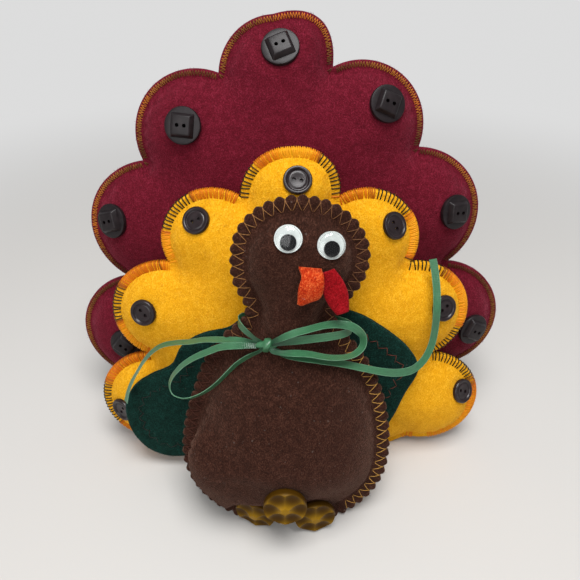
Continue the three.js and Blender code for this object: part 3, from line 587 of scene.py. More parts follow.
@cache
def matted_fibres() -> NodeTree:
    """Makes the effect of matted fibres.

    Returns:
        The node group, which puts out a colour and a height.
    """
    tree = new_tree(
        "matted_fibres", "ShaderNodeTree",
        {"Base": "Color", "Dark": "Color", "Light": "Color", "Specks": "Float"},
        {"Colour": "Color", "Height": "Float"},
    )
    g = Graph(tree)
    given = g.add("NodeGroupInput").outputs
    place = g.place()
    cloud = g.noise(place, 360.0, 3.0)
    streaks = []
    for turn, seed in (((0.4, 0.3, 0.2), 0.0), ((1.2, -0.5, 1.9), 3.0), ((-0.7, 0.9, -1.1), 7.0)):
        lay = g.add(
            "ShaderNodeMapping",
            {"Vector": place, "Location": (seed,) * 3, "Rotation": turn, "Scale": (1.0, 0.22, 1.0)},
        )
        streaks.append(g.noise(lay.outputs[0], 1900.0, 1.5, Roughness=0.6, Distortion=0.5))
    mat = g.math("MAXIMUM", g.math("MAXIMUM", streaks[0], streaks[1]), streaks[2])
    fine, broad = g.span(mat, 0.46, 0.74), g.span(cloud, 0.3, 0.7)
    whole = g.math("MULTIPLY_ADD", fine, 0.8, g.math("MULTIPLY", broad, 0.3))
    shade = g.mix(g.span(whole, 0.1, 0.5), given["Dark"], given["Base"])
    lit = g.mix(g.span(whole, 0.5, 1.0), shade, given["Light"])
    lint = g.span(g.noise(place, 760.0, 1.0), 0.72, 0.8)
    dusty = g.mix(g.math("MULTIPLY", lint, given["Specks"]), lit, (0.5, 0.45, 0.4, 1.0))
    height = g.math("ADD", fine, g.math("MULTIPLY", cloud, 0.5))
    g.add("NodeGroupOutput", {"Colour": dusty, "Height": height})
    return tree


@dataclass(frozen=True)
class Finish:
    """A finish in one plain colour, and the slot of the record whose name its material takes."""

    slot: Slot
    base: int

    @cache
    def material(self) -> Material:
        """Makes the material, once.

        Returns:
            The material.
        """
        material, g, shader = start_material(self.slot.value)
        self.paint(g, shader)
        return material

    def paint(self, g: Graph, shader: Node) -> None:
        """Gives the shader its values."""
        g.fill(shader, {"Base Color": colour(self.base), "Roughness": 1.0})


@dataclass(frozen=True)
class FeltFinish(Finish):
    """Felt of matted wool fibres."""

    dark: int
    light: int
    bloom: int
    specks: float = 0.0
    sheen: float = 0.3

    def paint(self, g: Graph, shader: Node) -> None:
        """Gives the shader its fibres and its sheen.

        Args:
            g: Graph of the material.
            shader: Its shader.
        """
        tones = {"Base": colour(self.base), "Dark": colour(self.dark), "Light": colour(self.light)}
        mat = g.add("ShaderNodeGroup", {**tones, "Specks": self.specks}, node_tree=matted_fibres())
        fibres = mat.outputs
        bump = g.add("ShaderNodeBump", {"Strength": 0.5, "Distance": 0.0005, "Height": fibres["Height"]})
        g.fill(shader, {
            "Base Color": fibres["Colour"], "Normal": bump.outputs[0], "Roughness": 0.95,
            "Specular IOR Level": 0.12, "Sheen Weight": self.sheen, "Sheen Roughness": 0.4,
            "Sheen Tint": colour(self.bloom),
        })


@dataclass(frozen=True)
class PlasticFinish(Finish):
    """Moulded plastic with faint clouds."""

    light: int
    roughness: float
    coat: float
    shine: float = 0.3

    def paint(self, g: Graph, shader: Node) -> None:
        """Gives the shader its clouds and its gloss.

        Args:
            g: Graph of the material.
            shader: Its shader.
        """
        share = g.span(g.noise(g.place(), 420.0, 4.0), 0.4, 0.75)
        g.fill(shader, {
            "Base Color": g.mix(share, colour(self.base), colour(self.light)),
            "Roughness": self.roughness, "Specular IOR Level": self.shine,
            "Coat Weight": self.coat, "Coat Roughness": 0.15,
        })


@dataclass(frozen=True)
class ClearFinish(Finish):
    """Clear plastic that bends light only a little and lets it through to what is under it."""

    roughness: float = 0.04
    bend: float = 1.06
    coat: float = 0.4

    def paint(self, g: Graph, shader: Node) -> None:
        """Makes the shader clear, without a shadow.

        Args:
            g: Graph of the material.
            shader: Its shader.
        """
        g.fill(shader, {
            "Base Color": colour(self.base), "Transmission Weight": 1.0, "IOR": self.bend,
            "Roughness": self.roughness, "Coat Weight": self.coat, "Coat Roughness": 0.1,
        })
        rays = g.add("ShaderNodeLightPath").outputs
        passing = g.math("MAXIMUM", rays["Is Shadow Ray"], rays["Is Diffuse Ray"])
        blend_shaders(g, passing, shader, g.add("ShaderNodeBsdfTransparent"))


@dataclass(frozen=True)
class AmberFinish(Finish):
    """Cloudy amber plastic, with painted shade low in its scoops and a painted highlight on its ridges."""

    ridge: int
    roughness: float = 0.34
    shine: float = 0.06

    def paint(self, g: Graph, shader: Node) -> None:
        """Gives the shader its colour by the height of a facet: painted shade low in the scoops, a painted
        highlight on the ridges.

        Args:
            g: Graph of the material.
            shader: Its shader.
        """
        cloud = g.noise(g.place(), 180.0, 2.0)
        some = g.add("ShaderNodeMapRange", {"Value": cloud, "To Min": 0.5, "To Max": 1.0})
        # This share of the ridge height paints a highlight on the ridges; where it is low, the base colour
        # paints shade in the scoops.
        share = g.math("MULTIPLY", g.stored("ridge"), some.outputs[0])
        g.fill(shader, {
            "Base Color": g.mix(share, colour(self.base), colour(self.ridge)),
            "Roughness": self.roughness, "Specular IOR Level": self.shine,
        })


@dataclass(frozen=True)
class SatinFinish(Finish):
    """Satin ribbon with woven edges, random darker streaks, and painted shade where it gathers into the
    knot.
    """

    edge: int
    shade: int
    roughness: float = 0.3
    shine: float = 0.42

    def paint(self, g: Graph, shader: Node) -> None:
        """Gives the shader its weave along the ribbon, random darker streaks, and painted shade where the
        ribbon gathers at the knot.

        Args:
            g: Graph of the material.
            shader: Its shader.
        """
        across, along = g.stored("across"), g.stored("along")
        tint = g.mix(g.span(across, 0.84, 1.0), colour(self.base), colour(self.edge))
        lie = g.add("ShaderNodeCombineXYZ", {"X": across, "Y": along})
        drawn = g.add("ShaderNodeMapping", {"Vector": lie.outputs[0], "Scale": (4.0, 0.3, 1.0)})
        streak = g.span(g.noise(drawn.outputs[0], 1.0, 3.0), 0.35, 0.7)
        # Random streaks and the painted shade where the ribbon gathers at the knot both pull the colour
        # toward the shade colour.
        deep = g.math("MULTIPLY_ADD", streak, 0.5, g.stored("pinch"))
        weave = g.math("SINE", g.math("MULTIPLY", along, 9.0))
        bump = g.add("ShaderNodeBump", {"Strength": 0.25, "Distance": 0.0001, "Height": weave})
        g.fill(shader, {
            "Base Color": g.mix(deep, tint, colour(self.shade)), "Normal": bump.outputs[0],
            "Roughness": self.roughness, "Specular IOR Level": self.shine, "Anisotropic": 0.6,
        })


@dataclass(frozen=True)
class ThreadFinish:
    """Sewing thread whose colour changes along its length, as place and colour."""

    name: str
    stops: tuple[tuple[float, int], ...]
    roughness: float = 0.5

    @cache
    def material(self) -> Material:
        """Makes the material, once.

        Returns:
            The material.
        """
        material, g, shader = start_material(self.name)
        ramp = g.add("ShaderNodeValToRGB", {0: g.stored("tone")})
        stops = ramp.color_ramp.elements
        while len(stops) < len(self.stops):
            stops.new(0.5)
        for stop, (place, _) in zip(stops, self.stops):
            stop.position = place
        for stop, (_, code) in zip(stops, self.stops):
            stop.color = colour(code)
        g.fill(shader, {
            "Base Color": ramp.outputs[0], "Roughness": self.roughness, "Specular IOR Level": 0.2,
        })
        return material


YELLOW = FeltFinish(Slot.YELLOW, 0xE09F11, 0xD08D0A, 0xF4B934, 0xFFCB60)
BURGUNDY = FeltFinish(Slot.BURGUNDY, 0x5E0E1E, 0x4D0916, 0x7A2033, 0xC05C70, 0.0, 0.45)
BROWN = FeltFinish(Slot.BROWN, 0x301810, 0x221009, 0x4E3025, 0xA27C6A, 0.1, 0.44)
GREEN = FeltFinish(Slot.GREEN, 0x09261F, 0x041510, 0x184038, 0x3A7A70, 0.05)
ORANGE = FeltFinish(Slot.ORANGE, 0xB6310D, 0x962005, 0xDA6C36, 0xE89A68, 0.35)
RED = FeltFinish(Slot.RED, 0x8A060F, 0x680309, 0xA81C26, 0xC84850)
STUFFING = Finish(Slot.STUFFING, 0xF1EFE8)
SHIRT_PLASTIC = PlasticFinish(Slot.SHIRT_BUTTON, 0x1B1113, 0x281C1E, 0.32, 0.12, 0.35)
SQUARE_PLASTIC = PlasticFinish(Slot.SQUARE_BUTTON, 0x160F11, 0x221A1C, 0.42, 0.05, 0.26)
EYE_WHITE = PlasticFinish(Slot.EYE_WHITE, 0xB6BDBA, 0xC8CECB, 0.45, 0.0)
EYE_BLACK = PlasticFinish(Slot.EYE_BLACK, 0x040405, 0x09090A, 0.5, 0.0, 0.05)
EYE_DOME = ClearFinish(Slot.EYE_DOME, 0xFFFFFF)
# Amber: the first colour is painted shade in the scoops, the second a painted highlight on the ridges.
AMBER = AmberFinish(Slot.AMBER, 0x402905, 0x9A7318)
# Satin: the last colour is the painted shade near the knot, also used for random darker streaks.
SATIN = SatinFinish(Slot.RIBBON, 0x3D704D, 0x689878, 0x22462F)
FRONT_THREAD = ThreadFinish(
    "front_tail_thread",
    ((0.0, 0x231F0A), (0.22, 0x3A2A0C), (0.45, 0xC86808), (0.75, 0xE08A0A), (1.0, 0xEBA318)),
)
REAR_THREAD = ThreadFinish(
    "rear_tail_thread", ((0.0, 0x34180E), (0.35, 0x5A3A14), (0.7, 0x966020), (1.0, 0xC06A1C))
)
BODY_THREAD = ThreadFinish("body_thread", ((0.0, 0x48241A), (0.5, 0x8E6238), (1.0, 0xB98B42)))
WING_THREAD = ThreadFinish("wing_thread", ((0.0, 0x1E2420), (1.0, 0x6A3024)))


def dress(node: str, word: str, mesh: Mesh, finish: Finish, body: str = FIGURE) -> Object:
    """Puts a finished piece in the place of its solid.

    Args:
        node: Name of the solid.
        word: Last word of the piece's name.
        mesh: Mesh of the piece.
        finish: Its finish.
        body: Body that it rides on.

    Returns:
        The piece.
    """
    piece = new_piece(f"{node}_{word}", mesh, finish.material())
    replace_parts(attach(piece, body), node)
    LOG.info("%s: %d faces", piece.name, len(mesh.polygons))
    return piece


@dataclass
class StitchRun:
    """Where the stitches of one seam sit and what they look like."""

    name: str
    foot: Array
    along: Array
    front: Array
    tone: Array
    shape: Mesh
    material: Material
    jitter: float = 0.06

    def build(self) -> Object:
        """Sets one stitch on every foot point and joins them into one mesh.

        Returns:
            The thread as a piece of the figure.
        """
        cloud = bpy.data.meshes.new("stitch_feet")
        cloud.from_pydata((self.foot * MM).tolist(), [], [])
        for name, values in (("along", self.along), ("front", self.front), ("tone", self.tone)):
            put_values(cloud, name, values)
        feet = new_piece("stitch_feet", cloud, None)
        sample = new_piece("stitch_sample", self.shape, None)
        tree = self.tree()
        sew = feet.modifiers.new("sew", "NODES")
        sew.node_group = tree
        wanted = {"Stitch": sample, "Thread": self.material, "Jitter": self.jitter, "Seed": SEED}
        for item in tree.interface.items_tree:
            if item.item_type == "SOCKET" and item.name in wanted:
                sew[item.identifier] = wanted[item.name]
        bpy.context.view_layer.update()
        ready = feet.evaluated_get(bpy.context.evaluated_depsgraph_get())
        mesh = bpy.data.meshes.new_from_object(ready)
        for helper in (feet, sample):
            bpy.data.objects.remove(helper)
        bpy.data.node_groups.remove(tree)
        mesh.polygons.foreach_set("use_smooth", [True] * len(mesh.polygons))
        LOG.info("%s: %d stitches or fibres", self.name, len(self.foot))
        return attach(new_piece(self.name, mesh, self.material), FIGURE)

    @staticmethod
    def tree() -> NodeTree:
        """Makes the geometry nodes that sew.

        Returns:
            The node tree.
        """
        tree = new_tree(
            "sew", "GeometryNodeTree",
            {
                "Geometry": "Geometry", "Stitch": "Object", "Thread": "Material", "Jitter": "Float",
                "Seed": "Int",
            },
            {"Geometry": "Geometry"},
        )
        g = Graph(tree)
        given = g.add("NodeGroupInput").outputs
        along, front = (
            g.add("GeometryNodeInputNamedAttribute", {"Name": name}, data_type="FLOAT_VECTOR").outputs[0]
            for name in ("along", "front")
        )
        turn = g.add(
            "FunctionNodeAxesToRotation", {0: along, 1: front}, primary_axis="X", secondary_axis="Z"
        )
        sway = g.add("FunctionNodeRandomValue", {"Seed": given["Seed"]}, data_type="FLOAT")
        limits = (g.math("MULTIPLY", given["Jitter"], -1.0), given["Jitter"])
        for socket, limit in zip([s for s in sway.inputs if s.enabled], limits):
            tree.links.new(limit, socket)
        spin = g.add("ShaderNodeCombineXYZ", {"Z": next(s for s in sway.outputs if s.enabled)})
        tilt = g.add("FunctionNodeEulerToRotation", {0: spin.outputs[0]})
        both = g.add(
            "FunctionNodeRotateRotation", {0: turn.outputs[0], 1: tilt.outputs[0]}, rotation_space="LOCAL"
        )
        sample = g.add("GeometryNodeObjectInfo", {"Object": given["Stitch"], "As Instance": True})
        points = g.add("GeometryNodeMeshToPoints", {"Mesh": given["Geometry"]}).outputs[0]
        placed = g.add(
            "GeometryNodeInstanceOnPoints",
            {"Points": points, "Instance": sample.outputs["Geometry"], "Rotation": both.outputs[0]},
        )
        real = g.add("GeometryNodeRealizeInstances", {0: placed.outputs[0]})
        done = g.add("GeometryNodeSetMaterial", {"Geometry": real.outputs[0], "Material": given["Thread"]})
        g.add("NodeGroupOutput", {0: done.outputs[0]})
        return tree


def seam_frame(
    placement: Matrix, line: Array, outward: Array, depth: float = 0.0
) -> tuple[Array, Array, Array]:
    """Frames for the stitches along a line of a flat shape.

    Args:
        placement: Frame of the shape.
        line: Where the stitches sit in the seam plane.
        outward: Unit vector to the outside at each.
        depth: How far behind the seam plane they sit.

    Returns:
        Feet, directions along the line and facings of the stitches.
    """
    front = np.tile(turned(np.array([0, -1.0, 0]), placement), (len(line), 1))
    along = np.cross(turned(stood_up(outward, 0.0), placement), front)
    return moved(stood_up(line, depth), placement), along, front


def thread_mesh(paths: Sequence[Route], radius: float, sides: int = 5) -> Mesh:
    """Round threads along short paths, in one mesh with closed ends.

    Args:
        paths: Points of each thread in millimetres.
        radius: Radius of the thread.
        sides: Sides of its section.

    Returns:
        The mesh, in metres.
    """
    points, faces = [], []
    for path in paths:
        line = np.array(path, float)
        heading = unit(np.gradient(line, axis=0))
        start = len(points)
        for at, along in zip(line, heading):
            up = np.array([0, 0, 1.0]) if abs(along[2]) < 0.9 else np.array([0, 1.0, 0])
            right = np.cross(along, up)
            right /= np.linalg.norm(right)
            up = np.cross(right, along)
            for k in range(sides):
                turn = 2 * math.pi * k / sides
                points.append(at + radius * (math.cos(turn) * right + math.sin(turn) * up))
        for row in range(len(line) - 1):
            for k in range(sides):
                a, b = start + row * sides + k, start + row * sides + (k + 1) % sides
                faces.append((a, b, b + sides, a + sides))
        faces.append(tuple(range(start, start + sides)))
        faces.append(tuple(range(start + (len(line) - 1) * sides, start + len(line) * sides)))
    return mesh_from(np.array(points), faces)


def whip_paths(slant: float, inner: float, lift: float) -> list[Route]:
    """One overcast stitch: up the front, round the edge and down the back.

    Args:
        slant: How far the stitch leans along the edge.
        inner: Distance from the edge to its ends.
        lift: How far the thread lies from the seam plane.

    Returns:
        Paths of the threads, with the edge at zero, outward as +Y.
    """
    legs = ((1.0, inner, lift - 0.3), (0.85, 0.86 * inner, lift + 0.1), (0.4, 0.4 * inner, lift + 0.16),
            (0.15, 0.45, lift + 0.04), (0.05, -0.22, 0.62 * lift), (0.0, -0.42, 0.0))
    return [[(slant * s, -reach, face * z) for s, reach, z in legs] for face in (1, -1)]


def zigzag_paths(pitch: float, inner: float, outer: float, lift: float) -> list[Route]:
    """One zigzag stitch on the front and one on the back of a flange.

    Args:
        pitch: Length of the stitch along the edge.
        inner: Distance from the edge to the inner ends.
        outer: Distance from the edge to the outer end.
        lift: How far the thread lies from the seam plane.

    Returns:
        Paths of the threads, with the edge at zero, outward as +Y.
    """
    legs = ((0.0, -0.25), (0.15, 0.12), (0.4, 0.12), (0.7, 0.12), (1.0, -0.25))
    half, reach = pitch / 2, inner - outer
    return [
        [(end * half * (1 - s), reach * s - inner, face * (lift + rise)) for s, rise in legs]
        for face in (1, -1)
        for end in (-1, 1)
    ]


def strew_nap(name: str, points: Array, faces: Array, felt: FeltFinish) -> None:
    """Strews loose fibres over a face of felt.

    Args:
        name: Name of the new piece.
        points: Corners of the face in millimetres.
        faces: Its triangles, turned outward.
        felt: The felt that sheds them.
    """
    a, b, c = (points[faces[:, k]] for k in range(3))
    cross = np.cross(b - a, c - a)
    area = np.linalg.norm(cross, axis=1) / 2
    dice = np.random.default_rng(SEED)
    pick = dice.choice(len(faces), int(area.sum() * NAP_DENSITY), p=area / area.sum())
    u, v = dice.random((2, len(pick), 1))
    over = u + v > 1
    u, v = np.where(over, 1 - u, u), np.where(over, 1 - v, v)
    normal = cross[pick] / (2 * area[pick, None])
    lay = unit(np.cross(normal, dice.standard_normal((len(pick), 3))))
    stops = ((0.0, felt.base), (0.4, felt.light), (1.0, felt.light))
    finish = ThreadFinish(f"{felt.slot.value}_nap", stops, 1.0)
    foot = a[pick] + u * (b - a)[pick] + v * (c - a)[pick]
    clear = foot[:, 2] > NAP_FLOOR
    fibre = [[(0, 0, -0.05), (0.5, 0.06, 0.25), (1.15, -0.1, 0.3)]]
    StitchRun(
        name, foot[clear], lay[clear], normal[clear], dice.random(len(pick))[clear],
        thread_mesh(fibre, 0.032, 3), finish.material(), 0.0,
    ).build()


@dataclass(frozen=True)
class Sewing:
    """How an edge is sewn round."""

    thread: ThreadFinish
    pitch: float
    radius: float
    paths: list[Route]
    tones: Pattern
    sparse: float = 0.0
    jitter: float = 0.12


@dataclass(frozen=True)
class ClothRun:
    """The short simulation that blows sewn felt up."""

    frames: int = 20
    enlarge: float = 5.0
    quality: int = 6
    mass: float = 0.3
    stretch: float = 12.0
    shear: float = 5.0
    bend: float = 2.0
    pressure: float = 4.0
    largest_move: float = 2.5

    def set_up(self, pillow: Object, seam: str) -> None:
        """Makes an object cloth.

        Args:
            pillow: The object.
            seam: Name of the vertex group that stays in place.
        """
        cloth = pillow.modifiers.new("cloth", "CLOTH")
        cloth.point_cache.frame_start, cloth.point_cache.frame_end = 1, self.frames
        cloth.collision_settings.use_collision = False
        wool = cloth.settings
        wool.vertex_group_mass = seam
        wool.quality, wool.mass = self.quality, self.mass
        wool.tension_stiffness = wool.compression_stiffness = self.stretch
        wool.shear_stiffness, wool.bending_stiffness = self.shear, self.bend
        wool.use_pressure, wool.uniform_pressure_force = True, self.pressure
        wool.effector_weights.gravity = 0


@dataclass
class StuffedShape:
    """Two felt panels sewn together inside their edge and swollen by stuffing."""

    prefix: str
    outline: Array
    margin: float
    placement: Matrix
    depth: Callable[[Side, Array], Array]
    reach: Callable[[Array], Array]
    fullness: Callable[[Side, Array], Array]
    hang: Callable[[Side, Array, Array], Array]
    felt: FeltFinish
    fill: float
    grid: float = 2.3
    presses: tuple[tuple[str, float], ...] = ()
    press_slope: float = 3.5
    press_gap: float = 0.25
    thin_rim: float = 0.45
    roundness: float = 1.0
    wave: float = 0.25
    wave_length: float = 16.0
    wave_from: float = 6.0
    least_felt: float = 0.25
    inner_share: float = 0.8
    fill_gap: float = 0.6
    cloth: ClothRun = ClothRun()
    edge: Array = field(init=False)
    seam: Array = field(init=False)

    def __post_init__(self) -> None:
        """Works out the edge and the seam."""
        self.edge = even_loop(self.outline, EDGE_STEP)
        self.seam = even_loop(self.edge + self.margin * inward_normals(self.edge), SEAM_STEP)

    def swell(self, side: Side, points: Array, inset: float = 0.0) -> Array:
        """Swell of one side over its flat margin.

        Args:
            side: Front or back.
            points: Points of the seam plane.
            inset: Depth of a sheet inside the felt.

        Returns:
            One height per point.
        """
        far = distance_to(points, self.seam) - inset
        share = np.clip(far / (self.reach(points[:, 1]) - inset), 0, 1)
        high = self.depth(side, points) * (1 - (1 - share) ** 2) ** self.fullness(side, points)
        return np.where(inside(points, self.seam), high, 0.0)

    def flat_mesh(self) -> tuple[Array, Array, Array]:
        """Cuts the flat panel into small triangles.

        Returns:
            Points, triangles, and the numbers of the edge points in order.
        """
        inwards = inward_normals(self.edge)
        rings = [self.edge + inset * inwards for inset in (0.0, 0.45, 1.1)]
        rings.append(even_loop(self.edge + 0.6 * self.margin * inwards, SEAM_STEP))
        middle = lattice(self.edge, self.seam, self.grid, 0.55 * self.grid, staggered=True)
        return triangulate([*rings, self.seam, middle], (0, len(rings)))

    def inflate(self, flat: Array, faces: Array) -> dict[Side, Array]:
        """Blows the sewn pillow up with a cloth simulation.

        Args:
            flat: Points of the flat panel.
            faces: Its triangles.

        Returns:
            How far each point of each side moves, in millimetres.
        """
        held = (distance_to(flat, self.seam) < 0.05) | ~inside(flat, self.seam)
        body = faces[(~held[faces]).any(1)]
        used = np.unique(body)
        loose = used[~held[used]]
        number = np.full(len(flat), -1)
        number[used] = np.arange(len(used))
        twin = number.copy()
        twin[loose] = len(used) + np.arange(len(loose))
        front, back = (stood_up(flat, side.value * self.swell(side, flat)) for side in Side)
        points = np.vstack([front[used], back[loose]])
        mesh = mesh_from(points * self.cloth.enlarge, np.vstack([number[body], twin[body][:, ::-1]]))
        pillow = new_piece("pillow_cloth", mesh, None)
        pinned = pillow.vertex_groups.new(name="seam")
        pinned.add(number[used[held[used]]].tolist(), 1.0, "REPLACE")
        self.cloth.set_up(pillow, "seam")
        scene = bpy.context.scene
        for step in range(1, self.cloth.frames + 1):
            scene.frame_set(step)
        ready = pillow.evaluated_get(bpy.context.evaluated_depsgraph_get())
        change = corners_of(ready.data) / self.cloth.enlarge - points
        scene.frame_set(1)
        bpy.data.objects.remove(pillow)
        moves = {side: np.zeros((len(flat), 3)) for side in Side}
        moves[Side.FRONT][used] = change[: len(used)]
        moves[Side.BACK][loose] = change[len(used) :]
        for move in moves.values():
            length = np.linalg.norm(move, axis=1, keepdims=True)
            move *= np.minimum(1.0, self.cloth.largest_move / np.maximum(length, TINY))
        return moves

    def rim_height(self, flat: Array) -> Array:
        """Share of the felt's thickness left at each point, because the cut edge is rounded."""
        rise = quarter_round(distance_to(flat, self.edge), self.roundness)
        return self.thin_rim + (1 - self.thin_rim) * rise

    def puff(self, flat: Array) -> Array:
        """Extra height of the sewn margin between its stitches: none on a plain edge."""
        return np.zeros(len(flat))

    def dents(self, top: Array) -> Array:
        """How far the things glued on the felt push it in.

        Args:
            top: Points of an outer face.

        Returns:
            One move per point, in millimetres.
        """
        move = np.zeros_like(top)
        home = self.placement.inverted()
        for node, radius in self.presses:
            foot, away = seat_of(node)
            axis = np.array(home.to_3x3() @ away)
            offset = top - np.array(home @ foot)
            rise = offset @ axis
            spread = np.linalg.norm(offset - rise[:, None] * axis, axis=1)
            near = 1 - smoothstep(spread, radius, radius + self.press_slope)
            move -= (np.maximum(rise - self.press_gap, 0) * near)[:, None] * axis
        return move

    def build(self) -> None:
        """Makes both panels and the stuffing."""
        flat, faces, edge = self.flat_mesh()
        moves = {side: np.zeros((len(flat), 3)) for side in Side}
        moves = self.inflate(flat, faces)
        rim, extra = self.rim_height(flat), self.puff(flat)
        for side in Side:
            swell = self.swell(side, flat)
            wave = self.wave * ripple(flat, self.wave_length, side.value + 3)
            wave *= np.clip(swell / self.wave_from, 0, 1)
            under = SEAM_GAP / 2 + self.swell(side, flat, FELT)
            outer = np.maximum(SEAM_GAP / 2 + FELT * rim + extra + swell + wave, under + self.least_felt)
            shift = moves[side] + self.hang(side, flat, swell)
            top = stood_up(flat, side.value * outer) + shift
            low = stood_up(flat, side.value * under) + self.inner_share * shift
            dent = self.dents(top)
            self.panel(side, np.vstack([top + dent, low + dent]), faces, edge)
        self.stuffing()

    def panel(self, side: Side, skins: Array, faces: Array, edge: Array) -> None:
        """Makes one felt panel as a closed piece.

        Args:
            side: Front or back.
            skins: Points of its outer face, then those of its inner face.
            faces: Triangles of either face.
            edge: Point numbers round the edge.
        """
        points, count = moved(skins, self.placement), len(skins) // 2
        points[:count, 2] = np.maximum(points[:count, 2], 0.0)
        points[count:, 2] = np.maximum(points[count:, 2], self.least_felt)
        node = f"{self.prefix}_{side.name.lower()}_felt"
        mesh = closed_skin(points, faces, edge)
        dress(node, "cloth", mesh, self.felt)
        outside = faces if side is Side.FRONT else faces[:, ::-1]
        strew_nap(f"{node}_nap", points, outside, self.felt)

    def stuffing(self) -> None:
        """Makes the stuffing as one closed piece inside the felt."""
        ring = even_loop(self.seam + 1.5 * inward_normals(self.seam), 4.0)
        flat, faces, edge = triangulate([ring, lattice(ring, ring, 6.0, 2.5)], (0,))
        skins = []
        for side in Side:
            rise = np.maximum(SEAM_GAP / 2 + self.swell(side, flat, FELT) - self.fill_gap, 0.1)
            rise[edge] = 0.05
            skins.append(stood_up(flat, side.value * rise))
        points = moved(np.vstack(skins), self.placement)
        points[:, 2] = np.maximum(points[:, 2], self.fill_gap)
        mesh = closed_skin(points, faces, edge)
        dress(f"{self.prefix}_stuffing", "fibre", mesh, STUFFING)

    def sew(self, sewing: Sewing, tone: Callable[[Array], Array]) -> None:
        """Sews stitches round the whole edge.

        Args:
            sewing: Thread and stitch to sew with; below its sparse tone every second one is left out.
            tone: Place in the thread's colours for a length along the edge.
        """
        fine = even_loop(self.outline, STITCH_STEP)
        count = int(round(STITCH_STEP * len(fine) / sewing.pitch))
        inwards = inward_normals(fine, max(2, int(0.35 * sewing.pitch / STITCH_STEP)))
        at = ((np.arange(count) + 0.5) * len(fine) / count).astype(int) % len(fine)
        foot, along, front = seam_frame(self.placement, fine[at], -inwards[at])
        run = tone(at * STITCH_STEP)
        keep = (foot[:, 2] > STITCH_FLOOR) & ((run > sewing.sparse) | (np.arange(count) % 2 == 0))
        StitchRun(
            f"{self.prefix}_stitching", foot[keep], along[keep], front[keep], run[keep],
            thread_mesh(sewing.paths, sewing.radius), sewing.thread.material(), sewing.jitter,
        ).build()


LOBES = 7
ARC_STEPS = 48


@dataclass
class Tail:
    """A stuffed tail with seven lobes and a button on each."""

    prefix: str
    placement: Matrix
    half_width: float
    half_height: float
    centre: float
    base: float
    bulges: tuple[float, float, float, float]
    shoulder: float
    puff: float
    roll_off: float
    felt: FeltFinish
    button_radius: float
    sewing: Sewing
    valleys: tuple[float, ...] = (118, 85, 52, 18, -18, -52, -85, -118)
    margin: float = 3.5
    fullness: float = 0.52

    def outline(self) -> Array:
        """Closed outline from the right foot over the top to the left foot.

        Returns:
            Points of the outline, one per row.
        """
        turns = np.radians(self.valleys)
        corners = np.column_stack(
            [self.half_width * np.sin(turns), self.centre + self.half_height * np.cos(turns)]
        )
        points = []
        for k, (here, onward) in enumerate(zip(corners, corners[1:])):
            from_top = abs(k - LOBES // 2)
            chord, bulge = onward - here, self.bulges[from_top]
            half = np.linalg.norm(chord) / 2
            outward = np.array([chord[1], -chord[0]]) / (2 * half)
            fuller = np.array([outward[0] + outward[1], outward[1] - outward[0]]) / math.sqrt(2)
            sagitta = bulge * half
            radius = (half**2 + sagitta**2) / (2 * sagitta)
            middle = (here + onward) / 2 + outward * (sagitta - radius)
            sweep = 2 * math.atan(bulge)
            for turn in np.linspace(-sweep, sweep, ARC_STEPS, endpoint=False):
                c, s = math.cos(turn), math.sin(turn)
                spoke = np.array([outward[0] * c - outward[1] * s, outward[0] * s + outward[1] * c])
                lopsided = from_top == 0 and turn < 0
                extra = self.shoulder * math.sin(-math.pi * turn / sweep) if lopsided else 0.0
                points.append(middle + radius * spoke + extra * fuller)
        points.append(corners[-1])
        points.extend(np.array([self.base * x, 0.0]) for x in np.linspace(-1, 1, 9))
        return np.array(points)

    def shape(self) -> StuffedShape:
        """The stuffed shape of the tail.

        Returns:
            The shape, ready to build.
        """
        return StuffedShape(
            prefix=self.prefix,
            outline=self.outline(),
            margin=self.margin,
            placement=self.placement,
            depth=lambda side, points: np.full(len(points), self.puff),
            reach=lambda height: np.full(len(height), self.roll_off),
            fullness=lambda side, points: np.full(len(points), self.fullness),
            hang=lambda side, points, high: np.zeros((len(points), 3)),
            felt=self.felt,
            fill=0.7,
            presses=tuple((f"{self.prefix}_button_{k + 1}", self.button_radius) for k in range(LOBES)),
        )

    def tones(self, length: Array) -> Array:
        """Place in the thread's colours along the edge.

        Args:
            length: Length along the edge.

        Returns:
            Places from 0 to 1.
        """
        run = lengths_along(self.outline())
        lobe = np.interp(length, [*run[: LOBES * ARC_STEPS + 1 : ARC_STEPS], run[-1]], np.arange(LOBES + 2))
        dice = np.random.default_rng(SEED)
        tone = np.interp(lobe, *np.array(self.sewing.tones).T) + 0.04 * dice.standard_normal(len(length))
        return np.clip(tone, 0, 1)

    def build(self) -> None:
        """Makes the stuffed felt and sews its edge."""
        shape = self.shape()
        shape.build()
        shape.sew(self.sewing, self.tones)


